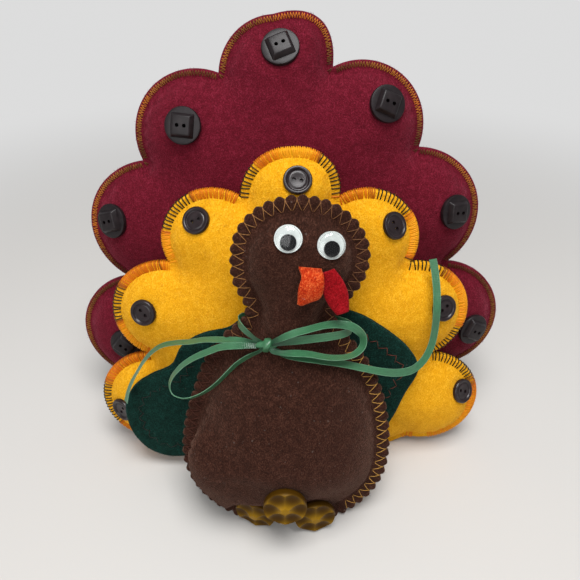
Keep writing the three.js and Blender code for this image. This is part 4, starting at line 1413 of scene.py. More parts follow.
@dataclass
class Gourd:
    """The body with neck and head: one gourd-shaped stuffed form with a pinked edge."""

    placement: Matrix
    half_width: float = 42.0
    centre: float = 32.0
    drop: float = 36.0
    rise: float = 60.0
    neck_half: float = 14.5
    neck_height: float = 92.0
    lean: float = 4.0
    lean_heights: tuple[tuple[float, float], tuple[float, float]] = ((55.0, 85.0), (95.0, 118.0))
    head_half: float = 24.5
    head_rise: float = 21.5
    head_centre: float = 117.5
    margin: float = 5.0
    pitch: float = 4.4
    scallop: float = 1.5
    tuck: float = 0.28
    fuller: float = 0.26
    overhang: float = 4.5
    heavy_side: tuple[float, float] = (-0.64, -0.77)
    heavy_from: tuple[float, float] = (0.15, 0.55)
    hang_from: tuple[float, float] = (2.0, 9.0)
    seam_power: float = 0.62
    neck_power: float = 0.18
    heavy_power: float = 0.2
    cheek_width: float = 14.0
    roll_share: float = 0.9
    head_roll: float = 0.28
    tuck_heights: tuple[float, float] = (4.0, 36.0)
    belly: tuple[float, float] = (23.0, 10.5)
    neck: tuple[float, float] = (9.5, 6.5)
    head: tuple[float, float] = (11.0, 11.5)
    thread_radius: float = 0.125

    def half_at(self, height: Array) -> Array:
        """Half width of the outline at a height.

        Args:
            height: Heights along the seam plane.

        Returns:
            Half widths.
        """
        def ellipse(middle: Array | float, drop: float, rise: float, width: float) -> Array:
            """Half width of an ellipse whose lower and upper half differ."""
            share = np.where(height < middle, (middle - height) / drop, (height - middle) / rise)
            return np.where(share < 1, width * np.sqrt(np.maximum(1 - share**2, 0)), 0)

        body = ellipse(self.centre, self.drop, self.rise, self.half_width)
        head = ellipse(self.head_centre, self.head_rise, self.head_rise, self.head_half)
        along = np.clip(height, self.centre, self.head_centre)
        neck = ellipse(along, self.drop, self.head_rise, self.neck_half)
        return (body**4 + head**4 + neck**4) ** 0.25

    def base_loop(self) -> Array:
        """Outline without scallops, one point for each scallop.

        Returns:
            Points of the outline, one per row.
        """
        turns = np.linspace(0, math.pi, 401)
        low, high = self.centre - self.drop, self.head_centre + self.head_rise
        height = low + (high - low) * 0.5 * (1 - np.cos(turns))
        side = np.column_stack([self.half_at(height), height])
        other = side[-2:0:-1] * [-1, 1]
        up, down = (smoothstep(other[:, 1], *heights) for heights in self.lean_heights)
        other[:, 0] -= self.lean * up * (1 - down)
        loop = np.vstack([side, other])
        length = lengths_along(np.vstack([loop, loop[:1]]))[-1]
        count = 2 * int(round(length / self.pitch / 2))
        return even_loop(loop, length / count)

    def outline(self) -> Array:
        """Outline with its pinked scallops.

        Returns:
            Points of the outline, one per row.
        """
        base = self.base_loop()
        points = []
        for here, onward in zip(base, np.roll(base, -1, axis=0)):
            run = onward - here
            outward = np.array([run[1], -run[0]]) / np.linalg.norm(run)
            for share in np.linspace(0, 1, 8, endpoint=False):
                points.append(here + run * share + outward * self.scallop * math.sin(math.pi * share) ** 0.8)
        return np.array(points)

    def low_left(self, points: Array) -> Array:
        """Share of the heavy low left side of the belly at each point."""
        offset = (points - [0.0, self.centre]) / (self.half_width - self.margin)
        return smoothstep(offset @ np.array(self.heavy_side), *self.heavy_from)

    def depth(self, side: Side, points: Array) -> Array:
        """Depth of the swell.

        Args:
            side: Front or back.
            points: Points of the seam plane.

        Returns:
            Depths.
        """
        k, height = 0 if side is Side.FRONT else 1, points[:, 1]
        to_neck = smoothstep(height, self.centre, self.neck_height)
        to_head = smoothstep(height, self.neck_height, self.head_centre)
        belly = self.belly[k]
        if side is Side.FRONT:
            tuck = self.tuck + self.fuller * self.low_left(points)
            belly = belly * (tuck + (1 - tuck) * smoothstep(height, *self.tuck_heights))
        return belly + (self.neck[k] - belly) * to_neck + (self.head[k] - self.neck[k]) * to_head

    def fullness(self, side: Side, points: Array) -> Array:
        """How steeply the swell rises from the seam: less is steeper.

        Args:
            side: Front or back.
            points: Points of the seam plane.

        Returns:
            Powers.
        """
        x, height = points.T
        power = self.seam_power + self.neck_power * smoothstep(height, self.centre, self.neck_height)
        cheek = smoothstep(-x, 0, self.cheek_width) * smoothstep(height, self.neck_height, self.head_centre)
        heavy = self.heavy_power * (self.low_left(points) + cheek)
        return power - heavy if side is Side.FRONT else power

    def slump(self, side: Side, points: Array, high: Array) -> Array:
        """How far the belly hangs over its seam on the heavy side.

        Args:
            side: Front or back.
            points: Points of the seam plane.
            high: Swell at each point.

        Returns:
            One move per point, as rows of x, y and z.
        """
        outward = points - [0.0, self.centre]
        outward /= np.maximum(np.linalg.norm(outward, axis=1, keepdims=True), 1.0)
        most = self.overhang if side is Side.FRONT else 0.0
        share = most * self.low_left(points) * smoothstep(high, *self.hang_from)
        return stood_up(outward * share[:, None], 0.0)

    def reach(self, height: Array) -> Array:
        """Distance from the seam to where the swell is full, at each height."""
        share = self.roll_share - self.head_roll * smoothstep(height, self.neck_height, self.head_centre)
        return share * (self.half_at(np.clip(height, self.centre, self.head_centre)) - self.margin)

    def shape(self) -> "ScallopedShape":
        """The stuffed shape of the body.

        Returns:
            The shape, ready to build.
        """
        return ScallopedShape(
            prefix="body",
            outline=self.outline(),
            margin=self.margin,
            placement=self.placement,
            depth=self.depth,
            reach=self.reach,
            fullness=self.fullness,
            hang=self.slump,
            felt=BROWN,
            fill=0.85,
            grid=1.9,
            presses=(
                ("left_eye_plate", 5.0), ("right_eye_plate", 5.0),
                ("left_foot", 8.6), ("right_foot", 8.6), ("upper_foot", 8.6),
            ),
            notches=self.base_loop(),
            pitch=self.pitch,
        )

    def build(self) -> None:
        """Makes the stuffed felt and sews its petals."""
        shape = self.shape()
        shape.build()
        shape.sew_petals(BODY_THREAD, self.thread_radius)


@dataclass
class ScallopedShape(StuffedShape):
    """A stuffed shape whose margin puffs out between stitches like petals."""

    thin_rim: float = 0.25
    roundness: float = 2.0
    notches: Array = field(default_factory=lambda: np.zeros((0, 2)))
    pitch: float = 4.4
    petal: float = 1.1
    head_from: tuple[float, float] = (78.0, 95.0)
    head_tones: tuple[float, float] = (0.52, 0.25)
    cheek_from: tuple[float, float] = (-12.0, 12.0)
    right_from: tuple[float, float] = (0.0, 20.0)

    def __post_init__(self) -> None:
        """Works out the edge and the seam, which ignores the scallops."""
        self.edge = even_loop(self.outline, 0.6)
        smooth = even_loop(self.notches, EDGE_STEP)
        self.seam = even_loop(smooth + self.margin * inward_normals(smooth), SEAM_STEP)

    def petal_share(self, flat: Array) -> Array:
        """Share of the way from one notch to the next.

        Args:
            flat: Points of the flat panel.

        Returns:
            Shares from 0 to 1.
        """
        run = np.roll(self.notches, -1, axis=0) - self.notches
        offset = flat[:, None, :] - self.notches[None]
        share = np.clip((offset * run).sum(-1) / (run * run).sum(1), 0, 1)
        gap = np.linalg.norm(offset - share[..., None] * run, axis=-1)
        return share[np.arange(len(flat)), gap.argmin(1)]

    def puff(self, flat: Array) -> Array:
        """Petals of the margin between the stitches.

        Args:
            flat: Points of the flat panel.

        Returns:
            Heights in millimetres.
        """
        far = distance_to(flat, self.seam)
        band = np.where(inside(flat, self.seam), 0.0, np.clip(far / 1.8, 0, 1))
        return band * self.petal * (np.sin(math.pi * self.petal_share(flat)) ** 0.6 - 0.55)

    def sew_petals(self, thread: ThreadFinish, radius: float) -> None:
        """Sews one V over each petal, from notch to seam to notch.

        Args:
            thread: Thread to sew with.
            radius: Radius of the thread.
        """
        onward = np.roll(self.notches, -1, axis=0)
        middle, run = (self.notches + onward) / 2, unit(onward - self.notches)
        outward = np.column_stack([run[:, 1], -run[:, 0]])
        foot, along, front = seam_frame(self.placement, middle, outward)
        lift, half = SEAM_GAP / 2 + FELT, self.pitch / 2
        legs = ((0.0, -4.3, lift - 0.15), (0.25, -3.6, lift + 0.35), (0.6, -2.1, lift + 0.42),
                (0.88, -0.9, lift), (0.98, 0.0, lift - 0.5), (1.0, 0.45, 0.0))
        paths = [
            [(end * half * x, y, face * z) for x, y, z in legs] for face in (1, -1) for end in (1, -1)
        ]
        x, height = middle.T
        head, cheek = smoothstep(height, *self.head_from), smoothstep(x, *self.cheek_from)
        near, far = self.head_tones
        tone = (near + (far - near) * cheek) * head + (1 - head) * smoothstep(x, *self.right_from)
        keep = foot[:, 2] > STITCH_FLOOR
        StitchRun(
            f"{self.prefix}_stitching", foot[keep], along[keep], front[keep], tone[keep],
            thread_mesh(paths, radius), thread.material(), 0.02,
        ).build()


FRONT_TONES: Pattern = (
    (0, 0.6), (0.35, 0.9), (0.6, 0.5), (0.75, 0.1), (1.05, 0.05), (1.25, 0.1), (1.35, 0.8), (1.55, 0.9),
    (1.7, 0.5), (1.8, 0.05), (2.0, 0.05), (2.1, 0.95), (2.35, 0.95), (2.45, 0.1), (2.68, 0.05), (2.75, 0.45),
    (3.0, 0.5), (3.05, 0.05), (3.3, 0.1), (3.38, 0.9), (3.55, 0.95), (3.65, 0.5), (3.75, 0.45), (3.8, 0.1),
    (3.98, 0.05), (4.03, 0.5), (4.35, 0.5), (4.42, 0.1), (4.7, 0.05), (4.78, 0.8), (5.0, 0.9), (5.05, 0.4),
    (5.35, 0.5), (5.45, 0.1), (5.65, 0.1), (5.72, 0.8), (5.95, 0.9), (6.0, 0.4), (6.3, 0.5), (6.4, 0.1),
    (6.6, 0.1), (6.7, 0.6), (8, 0.7),
)
REAR_TONES: Pattern = (
    (0, 0.3), (0.4, 0.7), (0.9, 0.2), (1.3, 0.6), (1.7, 0.8), (2.0, 0.2), (2.3, 0.9), (2.7, 0.7), (3.0, 0.2),
    (3.15, 0.75), (3.3, 0.9), (3.5, 1.0), (3.6, 0.6), (3.75, 0.4), (3.9, 0.75), (4.05, 0.3), (4.3, 0.4),
    (4.6, 0.9), (4.95, 0.3), (5.3, 0.7), (5.6, 0.95), (6.0, 0.2), (6.4, 0.6), (7, 0.3), (8, 0.2),
)
LEFT_WING: Pattern = (
    (-14, 78), (-26, 73), (-38, 69), (-47, 62.5), (-52, 53.5), (-61, 48.8), (-69, 43), (-73.5, 35),
    (-74, 25), (-71, 15), (-64, 7), (-52, 4), (-30, 10), (-12, 40),
)
RIGHT_WING: Pattern = (
    (12, 45), (24, 16), (39, 15), (46, 25), (51, 39), (56, 52), (51.5, 61.5), (42, 70.3), (30, 78.4),
    (22, 80.8), (14, 78),
)


@dataclass
class Wing:
    """Two flat layers of felt that lie on the front tail."""

    name: str
    points: Pattern
    placement: Matrix
    thread_tone: float
    seat: float = -13.45
    seam_inset: float = 7.0
    stitch: float = 5.4
    stitch_width: float = 2.6
    thread_radius: float = 0.13
    wave: float = 0.5
    wave_length: float = 26.0
    wave_from: float = 8.0
    roundness: float = 2.2

    def outline(self, inset: float) -> Array:
        """Outline of a layer or of a line inside it.

        Args:
            inset: How far inside the pattern it is cut.

        Returns:
            Points of the outline, one per row.
        """
        corners = np.array(self.points, float)
        loop = np.column_stack([corners, np.zeros(len(corners))])
        curve = smooth_path(np.vstack([loop[-1:], loop, loop[:2]]), 0.5)[:, :2]
        start, half = np.linalg.norm(curve - corners[0], axis=1), len(curve) // 2
        first, last = int(np.argmin(start[:half])), half + int(np.argmin(start[half:]))
        even = even_loop(curve[first:last], 0.6)
        return even + inward_normals(even, 3) * inset

    def layer(self, face: Side) -> None:
        """Makes one layer.

        Args:
            face: Front or back layer.
        """
        edge = self.outline(0.0)
        inwards = inward_normals(edge)
        inner = even_loop(edge + 2.4 * inwards, 1.6)
        rings = [edge, edge + 0.4 * inwards, edge + 1.1 * inwards, inner, lattice(edge, inner, 2.2, 1.2)]
        flat, faces, rim = triangulate(rings, (0,))
        front, far = face is Side.FRONT, distance_to(flat, edge)
        base, thick = self.seat, np.full(len(flat), FELT)
        if front:
            soft = self.wave * ripple(flat, self.wave_length, 5) * np.clip(far / self.wave_from, 0, 1)
            thick = FELT * (0.5 + 0.5 * quarter_round(far, self.roundness)) + np.maximum(soft, -0.2)
            base -= FELT + SEAM_GAP
        points = moved(np.vstack([stood_up(flat, base - thick), stood_up(flat, base)]), self.placement)
        node = f"{self.name}_{face.name.lower()}_felt"
        piece = dress(node, "cloth", closed_skin(points, faces, rim), GREEN)
        if front:
            strew_nap(f"{node}_nap", points, faces, GREEN)

    def build(self) -> None:
        """Makes both layers and the sewing."""
        for face in (Side.BACK, Side.FRONT):
            self.layer(face)
        line = even_loop(self.outline(self.seam_inset), self.stitch)
        depth = self.seat - 2 * FELT - SEAM_GAP - 0.12
        frames = seam_frame(self.placement, line, -inward_normals(line), depth)
        leg, half = self.stitch / 2, self.stitch_width / 2
        paths = [[(end * leg, -half, -0.1), (end * 1.4, 0, 0.3), (0, half, -0.1)] for end in (1, -1)]
        StitchRun(
            f"{self.name}_stitching", *frames, np.full(len(line), self.thread_tone),
            thread_mesh(paths, self.thread_radius, 4), WING_THREAD.material(),
        ).build()


def round_point(radius: float, height: float, turn: float) -> tuple[float, float, float]:
    """Point of a plain turned part."""
    return radius * math.cos(turn), radius * math.sin(turn), height


def lathe(
    profile: Sequence[tuple[float, float]], steps: int = 48,
    point: Callable[[float, float, float], tuple[float, float, float]] = round_point,
) -> Mesh:
    """Turns a profile round an axis.

    Args:
        profile: Radius and height of each point in millimetres, from axis to axis or round a ring.
        steps: Steps of a full turn.
        point: Where a radius, height and turn lie.

    Returns:
        The closed mesh, in metres.
    """
    points, faces, rings = [], [], []
    for radius, height in profile:
        count = steps if radius > TINY else 1
        rings.append([len(points) + k % count for k in range(steps)])
        points.extend(point(radius, height, 2 * math.pi * k / steps) for k in range(count))
    if profile[0][0] > TINY:
        rings.append(rings[0])
    for low, high in zip(rings, rings[1:]):
        for k in range(steps):
            n = (k + 1) % steps
            corners = list(dict.fromkeys((low[k], low[n], high[n], high[k])))
            if len(corners) > 2:
                faces.append(corners)
    return mesh_from(np.array(points), faces)


class Mould(Enum):
    """What a second shape does to a mesh."""

    CUT = "DIFFERENCE"
    JOIN = "UNION"


@dataclass(frozen=True)
class Step:
    """A modifier with its settings."""

    kind: str
    settings: dict[str, object]


def with_modifiers(mesh: Mesh, *steps: Step) -> Mesh:
    """Runs modifiers on a mesh and keeps the result.

    Args:
        mesh: Mesh to work on.
        *steps: The modifiers in order.

    Returns:
        The finished mesh.
    """
    work = new_piece("work", mesh, None)
    for step in steps:
        modifier = work.modifiers.new(step.kind.lower(), step.kind)
        for key, value in step.settings.items():
            setattr(modifier, key, value)
    bpy.context.view_layer.update()
    ready = work.evaluated_get(bpy.context.evaluated_depsgraph_get())
    result = bpy.data.meshes.new_from_object(ready)
    tools = [step.settings["object"] for step in steps if "object" in step.settings]
    for thing in (work, *tools):
        bpy.data.objects.remove(thing)
    return result


def moulded(action: Mould, tools: Sequence[Mesh]) -> list[Step]:
    """Steps that take shapes out of a mesh or join them to it."""
    how, shapes = {"operation": action.value, "solver": "EXACT"}, [new_piece("tool", t, None) for t in tools]
    return [Step("BOOLEAN", {**how, "object": shape}) for shape in shapes]


def soft_edges(width: float, segments: int = 2) -> Step:
    """Step that rounds the sharp edges of a mesh by a width in millimetres."""
    limit = {"limit_method": "ANGLE", "angle_limit": math.radians(28), "harden_normals": False}
    return Step("BEVEL", {"width": width * MM, "segments": segments, **limit})


def shade_by_angle(mesh: Mesh, degrees: float = 32.0) -> Mesh:
    """Shades a mesh smooth but keeps its sharp edges.

    Args:
        mesh: Mesh to shade.
        degrees: Angle from which an edge is sharp.

    Returns:
        The same mesh.
    """
    mesh.polygons.foreach_set("use_smooth", [True] * len(mesh.polygons))
    mesh.set_sharp_from_angle(angle=math.radians(degrees))
    return mesh


@dataclass(frozen=True)
class ButtonPattern:
    """Sizes of the two kinds of buttons in millimetres."""

    shirt_radius: float = 5.75
    shirt_thick: float = 2.2
    square_radius: float = 7.7
    square_foot: float = 2.2
    square_top: float = 7.6
    square_rise: float = 2.4
    square_taper: float = 1.5
    hole_radius: float = 0.8
    hole_spacing: float = 3.0

    def holes(self) -> list[Mesh]:
        """The two shapes that bore the holes.

        Returns:
            Their meshes.
        """
        tools = []
        for end in (-0.5, 0.5):
            r = self.hole_radius
            tool = lathe([(0, 0.45), (r, 0.45), (r, 9), (0, 9)], 16)
            tool.transform(Matrix.Translation((end * self.hole_spacing * MM, 0, 0)))
            tools.append(tool)
        return tools

    def shirt(self) -> Mesh:
        """Dished round button with a rim, a groove and two holes.

        Returns:
            The mesh, in metres.
        """
        r, t = self.shirt_radius, self.shirt_thick
        profile = [
            (0, 0), (r - 0.7, 0), (r - 0.3, 0.15), (r, 0.6), (r, t - 0.75), (r - 0.12, t - 0.35),
            (r - 0.4, t - 0.08), (r - 0.8, t), (r - 1.2, t - 0.1), (r - 1.55, t - 0.42),
            (r - 1.75, t - 0.72), (r - 2.0, t - 0.78), (r - 2.3, t - 0.62), (r - 2.9, t - 0.6),
            (r - 3.8, t - 0.72), (0, t - 0.8),
        ]
        return shade_by_angle(with_modifiers(lathe(profile), *moulded(Mould.CUT, self.holes())))

    def square(self) -> Mesh:
        """Round button with a raised square and two holes.

        Returns:
            The mesh, in metres.
        """
        r, f = self.square_radius, self.square_foot
        foot = lathe([
            (0, 0), (r - 0.6, 0), (r - 0.15, 0.2), (r, 0.7), (r, f - 0.5), (r - 0.2, f - 0.12),
            (r - 0.6, f), (0, f),
        ])
        low, high = self.square_top / 2 + self.square_taper, self.square_top / 2
        corners = [(-1, -1), (1, -1), (1, 1), (-1, 1)]
        levels = ((low, f - 0.8), (high, f + self.square_rise))
        points = [(x * half, y * half, z) for half, z in levels for x, y in corners]
        faces = [(3, 2, 1, 0), (4, 5, 6, 7), *((k, (k + 1) % 4, (k + 1) % 4 + 4, k + 4) for k in range(4))]
        block = with_modifiers(mesh_from(np.array(points), faces, False), soft_edges(0.5, 3))
        steps = (*moulded(Mould.JOIN, [block]), *moulded(Mould.CUT, self.holes()))
        return shade_by_angle(with_modifiers(foot, *steps))


@dataclass
class ButtonRow:
    """Seven buttons glued on the lobes of one tail."""

    prefix: str
    placement: Matrix
    spins: tuple[float, ...]
    mesh: Mesh
    finish: PlasticFinish

    def build(self) -> None:
        """Sets each button where its solid sits."""
        turn = self.placement.to_3x3()
        for k, spin in enumerate(self.spins, start=1):
            node = f"{self.prefix}_button_{k}"
            foot, away = seat_of(node)
            local = turn.transposed() @ away
            face = Vector((0, -1, 0)).rotation_difference(local).to_matrix()
            spun = turn @ face @ Matrix.Rotation(math.radians(spin), 3, "Y")
            frame_of = Matrix.Translation(foot * MM) @ (spun @ Matrix.Rotation(math.pi / 2, 3, "X")).to_4x4()
            mesh = self.mesh.copy()
            mesh.transform(frame_of)
            dress(node, "moulded", mesh, self.finish)


QUARTER_TURN = np.linspace(0, math.pi / 2, 12)


@dataclass
class GooglyEye:
    """White plate, loose pupil and clear dome."""

    name: str
    radius: float = 5.0
    plate: float = 0.8
    wall: float = 0.55
    side: float = 1.0
    dome: float = 2.6
    pupil: float = 2.9
    pupil_thick: float = 0.6

    def place(self, mesh: Mesh, foot: Vector) -> Mesh:
        """Moves a turned mesh to its foot point, facing as the plate does.

        Args:
            mesh: Mesh with its foot at the origin.
            foot: Where its foot goes, in millimetres.

        Returns:
            The same mesh.
        """
        away = seat_of(f"{self.name}_plate")[1]
        mesh.transform(Matrix.Translation(foot * MM) @ away.to_track_quat("Z", "Y").to_matrix().to_4x4())
        return mesh

    def arc(self, inset: float) -> list[tuple[float, float]]:
        """Profile of the dome from its top down, that far inside it."""
        wide, high = self.radius - inset, self.dome - inset - self.side
        return [(wide * math.sin(t), self.side + high * math.cos(t)) for t in QUARTER_TURN]

    def build(self) -> None:
        """Makes the three parts."""
        r, h, p, t, w = self.radius, self.plate, self.pupil, self.pupil_thick, self.wall
        plate = lathe([(0, 0), (r - 0.1, 0), (r, 0.15), (r, h - 0.1), (r - 0.15, h), (0, h)])
        disc = lathe([(0, 0), (p - 0.12, 0), (p, 0.12), (p, t - 0.15), (p - 0.15, t), (0, t)])
        shell = lathe([*self.arc(0.0), (r, 0.0), (r - w, 0.0), *self.arc(w)[::-1]])
        plate_foot, away = seat_of(f"{self.name}_plate")
        pupil_foot, _ = seat_of(f"{self.name}_pupil")
        dome_foot = plate_foot + away * (h + SEAM_GAP)
        rolling = self.name.replace("eye", "pupil")
        parts = (
            ("plate", shade_by_angle(plate), plate_foot, EYE_WHITE, FIGURE),
            ("pupil", shade_by_angle(disc), pupil_foot, EYE_BLACK, rolling),
            ("dome", shade_by_angle(shell, 50), dome_foot, EYE_DOME, FIGURE),
        )
        for part, mesh, foot, finish, body in parts:
            dress(f"{self.name}_{part}", "moulded", self.place(mesh, foot), finish, body)


def felt_sheet(rows: Array, thickness: float) -> Mesh:
    """A sheet of felt with rounded rims over a grid of points.

    Args:
        rows: Grid of points in millimetres: row, column, axis.
        thickness: Thickness of the felt.

    Returns:
        The closed mesh, in metres.
    """
    deep, wide = rows.shape[:2]
    normal = np.cross(np.gradient(rows, axis=0), np.gradient(rows, axis=1))
    normal /= np.maximum(np.linalg.norm(normal, axis=2, keepdims=True), TINY)
    r, c = np.meshgrid(np.arange(deep), np.arange(wide), indexing="ij")
    edge = np.minimum.reduce([r, deep - 1 - r, c, wide - 1 - c])
    half = thickness / 2 * np.where(edge == 0, 0.55, np.where(edge == 1, 0.92, 1.0))[..., None]
    return sheet_mesh(rows + normal * half, rows - normal * half)


@dataclass
class Face:
    """Felt beak and wattle on the head."""

    placement: Matrix
    head_centre: float = 117.5
    beak_x: float = 3.5
    beak_width: float = 8.4
    beak_drop: float = 1.0
    beak_length: float = 13.0
    beak_stand: float = 4.5
    beak_bow: float = 0.8
    wattle_x: float = 13.1
    wattle_width: float = 8.5
    wattle_length: float = 17.0
    wattle_drop: float = 0.8
    wattle_turn: float = 24.0

    def local(self, node: str) -> Array:
        """Corners of a solid in the body's own frame, in millimetres."""
        return moved(node_points(node), self.placement.inverted())

    def beak(self) -> None:
        """Folded felt with a crease that stands off the face and a hanging point."""
        shift = self.local("beak")[:, 1].min() + self.beak_stand + FELT / 2
        top, stand, half = self.head_centre - self.beak_drop, self.beak_stand, self.beak_width / 2
        outlines = (
            (
                (-1.02, 0.0, 0.0), (-0.86, 0.55, 0.09), (-0.76, 0.95, 0.2), (-0.95, 1.04, 0.54),
                (-0.86, 0.5, 1.0),
            ),
            (
                (0.95, 0.0, 0.02), (1.0, 0.6, 0.06), (1.1, 1.0, 0.11), (1.17, 1.06, 0.42), (0.95, 0.8, 0.74),
                (0.2, 0.6, 0.88), (-0.6, 0.5, 1.0),
            ),
        )
        scale, start = np.array([half, -stand, -self.beak_length]), np.array([self.beak_x, 0.0, top])
        sides = [smooth_path(start + scale * np.array(edge), 0.5) for edge in outlines]
        count = min(len(s) for s in sides)
        pick = [s[np.linspace(0, len(s) - 1, count).astype(int)] for s in sides]
        share = np.linspace(0, 1, 12)[None, :, None]
        rows = pick[0][:, None] * (1 - share) + pick[1][:, None] * share
        bow = np.sin(math.pi * np.linspace(0, 1, 12))[None, :] * np.linspace(0, 1, count)[:, None]
        rows[..., 1] += shift - self.beak_bow * bow
        points = moved(rows.reshape(-1, 3), self.placement).reshape(rows.shape)
        dress("beak", "felt", felt_sheet(points, FELT), ORANGE)

    def wattle(self) -> None:
        """Petal of felt that hangs beside the beak."""
        seat = self.local("wattle")[:, 1].mean()
        share = np.linspace(0, 1, 30)
        half = self.wattle_width / 2 * (0.22 + 0.78 * np.sin(math.pi * (0.14 + 0.74 * share)))
        across = np.linspace(-1, 1, 12)
        rows = np.zeros((len(share), len(across), 3))
        rows[..., 0] = half[:, None] * across[None, :]
        rows[..., 1] = -0.5 * (1 - across[None, :] ** 2)
        rows[..., 2] = self.wattle_length * (0.5 - share)[:, None]
        turn = np.array(Matrix.Rotation(-math.radians(self.wattle_turn), 3, "Y"))
        flat = rows.reshape(-1, 3) @ turn.T
        flat += [self.wattle_x, seat, self.head_centre - self.wattle_drop - self.wattle_length / 2]
        points = moved(flat, self.placement).reshape(rows.shape)
        dress("wattle", "felt", felt_sheet(points, FELT), RED)

    def build(self) -> None:
        """Makes beak and wattle."""
        self.beak()
        self.wattle()


@dataclass
class Feet:
    """Three amber buttons with scooped facets."""

    radius: float = 8.6
    thick: float = 4.6
    petals: int = 6
    scoop: float = 6.5
    scoop_depth: float = 2.0
    scoop_ring: float = 0.72

    def mesh(self) -> Mesh:
        """One foot with its base at the origin.

        Returns:
            The mesh, in metres.
        """
        r, t = self.radius, self.thick
        profile = [
            (0, 0), (r - 1.0, 0), (r - 0.3, 0.3), (r, 1.1), (r, t - 2.0), (r - 0.35, t - 1.0),
            (r - 1.1, t), (0, t),
        ]
        tools = []
        for k in range(self.petals):
            turn = 2 * math.pi * k / self.petals
            ball = bmesh.new()
            bmesh.ops.create_uvsphere(ball, u_segments=40, v_segments=24, radius=self.scoop * MM)
            tool = bpy.data.meshes.new("scoop")
            ball.to_mesh(tool)
            ball.free()
            ring, lift = self.scoop_ring * r, t + self.scoop - self.scoop_depth
            place = Vector((ring * math.cos(turn), ring * math.sin(turn), lift))
            tool.transform(Matrix.Translation(place * MM))
            tools.append(tool)
        mesh = with_modifiers(lathe(profile, 60), *moulded(Mould.CUT, tools), soft_edges(0.25))
        # Height share of each corner: it paints a highlight on the ridges and, where it is low, shade in the
        # scoops.
        put_values(mesh, "ridge", smoothstep(corners_of(mesh)[:, 2], t - self.scoop_depth, t))
        return shade_by_angle(mesh, 40)

    def build(self) -> None:
        """Sets the three feet where their solids sit."""
        pattern = self.mesh()
        for node in ("left_foot", "right_foot", "upper_foot"):
            foot, away = seat_of(node)
            yaw = math.atan2(away.x, -away.y)
            right = Vector((math.cos(yaw), math.sin(yaw), 0))
            up = away.cross(right)
            turn = Matrix((right, up, away)).transposed().to_4x4()
            mesh = pattern.copy()
            mesh.transform(Matrix.Translation(foot * MM) @ turn)
            dress(node, "moulded", mesh, AMBER)


LEFT_LOOP: Route = (
    (-3.7, 0.2, -0.8), (-7.5, 0.6, -0.9), (-11.3, 1.3, -1.5), (-15, 2, -2.3), (-18.5, 2.8, -3.7),
    (-21.6, 3.5, -5.7), (-24.8, 4.1, -7.8), (-28, 4.6, -9.9), (-31.1, 4.8, -12.2), (-34, 4.9, -14.7),
    (-36.6, 4.7, -17.6), (-38.8, 4.3, -20.7), (-40.1, 3.1, -24.1), (-39, 1.2, -27), (-35.6, -0.4, -27.6),
    (-32, -1.5, -26.6), (-28.7, -2.1, -24.8), (-25.5, -2.4, -22.6), (-22.5, -2.3, -20.2),
    (-19.8, -2.2, -17.5), (-17.3, -2.1, -14.6), (-14.7, -1.5, -11.7), (-12.2, -1.4, -8.7),
    (-9.3, -1.7, -5.8), (-6.2, -2.1, -3.2), (-2.8, -2.4, -1.1),
)
RIGHT_LOOP: Route = (
    (2.9, -1, 2.7), (4.8, -2.8, 5.1), (7.8, -3.5, 7.3), (11.3, -3.3, 8.7), (15, -2.4, 9.2),
    (18.4, -0.7, 9), (21.7, 1, 8.6), (25.1, 2.6, 7.8), (28.6, 3.7, 6.8), (32, 4.5, 5.3), (35, 4.8, 2.9),
    (37, 4.7, -0.3), (36.8, 3.4, -3.7), (34.2, 1.2, -5.3), (30.9, -0.8, -5.2), (27.5, -2.3, -4.4),
    (24, -3.4, -3.4), (20.5, -4.1, -2.2), (16.9, -4.4, -1), (13.3, -5.1, 0.1), (9.6, -5.6, 0.7),
    (5.9, -4.9, 0.2), (2.4, -3.4, -0.5),
)
RIGHT_TAIL: Route = (
    (3.6, -1.2, -1.6), (6.9, -3.4, -1.9), (13.6, -3.9, -3), (20.9, -2.7, -5.5), (28.8, -0.9, -8.7),
    (36.9, 0.8, -12.4), (45.4, 3.3, -16.8), (52.5, 7.3, -21.1), (58.5, 11.4, -23.9), (63.2, 15.9, -25.2),
    (66.6, 19, -23.5), (69.2, 22, -19.3), (70.1, 23.8, -12), (69.6, 24.6, -1.9), (69.5, 29, 5),
    (68.8, 33.3, 11.1), (67.9, 36.4, 15.5),
)
LEFT_TAIL: Route = (
    (-3.1, 1.9, -1.2), (-10.5, 5, -2.2), (-17.8, 7.4, -3.7), (-25.1, 10.5, -6.3), (-31.7, 13, -9.5),
    (-38.8, 16.4, -12.9), (-45, 18.5, -16.2), (-49.8, 19.1, -20.2), (-53.6, 18.1, -24.4),
    (-56.4, 16.2, -28.4), (-59.2, 14, -32.8), (-61, 12.1, -36.8), (-62.2, 10.3, -41.1),
)


class FarEnd(Enum):
    """What the far end of a loop or tail is."""

    KNOT = "object"
    BARE = "bare"


@dataclass(frozen=True)
class BowEnd:
    """A loop or tail: its steps right, back and up from the knot, and the turns of its face."""

    name: str
    route: Route
    far_end: FarEnd
    twists: tuple[float, ...]


BOW = (
    BowEnd("ribbon_left_loop", LEFT_LOOP, FarEnd.KNOT, (20, 45, 50, 58, 70, 66, 62, 58, 40)),
    BowEnd("ribbon_right_loop", RIGHT_LOOP, FarEnd.KNOT, (-30, -45, -50, -30, 40, 65, 60, 50, 35)),
    BowEnd("ribbon_left_tail", LEFT_TAIL, FarEnd.BARE, (20, 52, 60, 62, 60, 65, 50)),
    BowEnd("ribbon_right_tail", RIGHT_TAIL, FarEnd.BARE, (-20, -42, -45, -40, -20, 10, 10, 5, 5)),
)


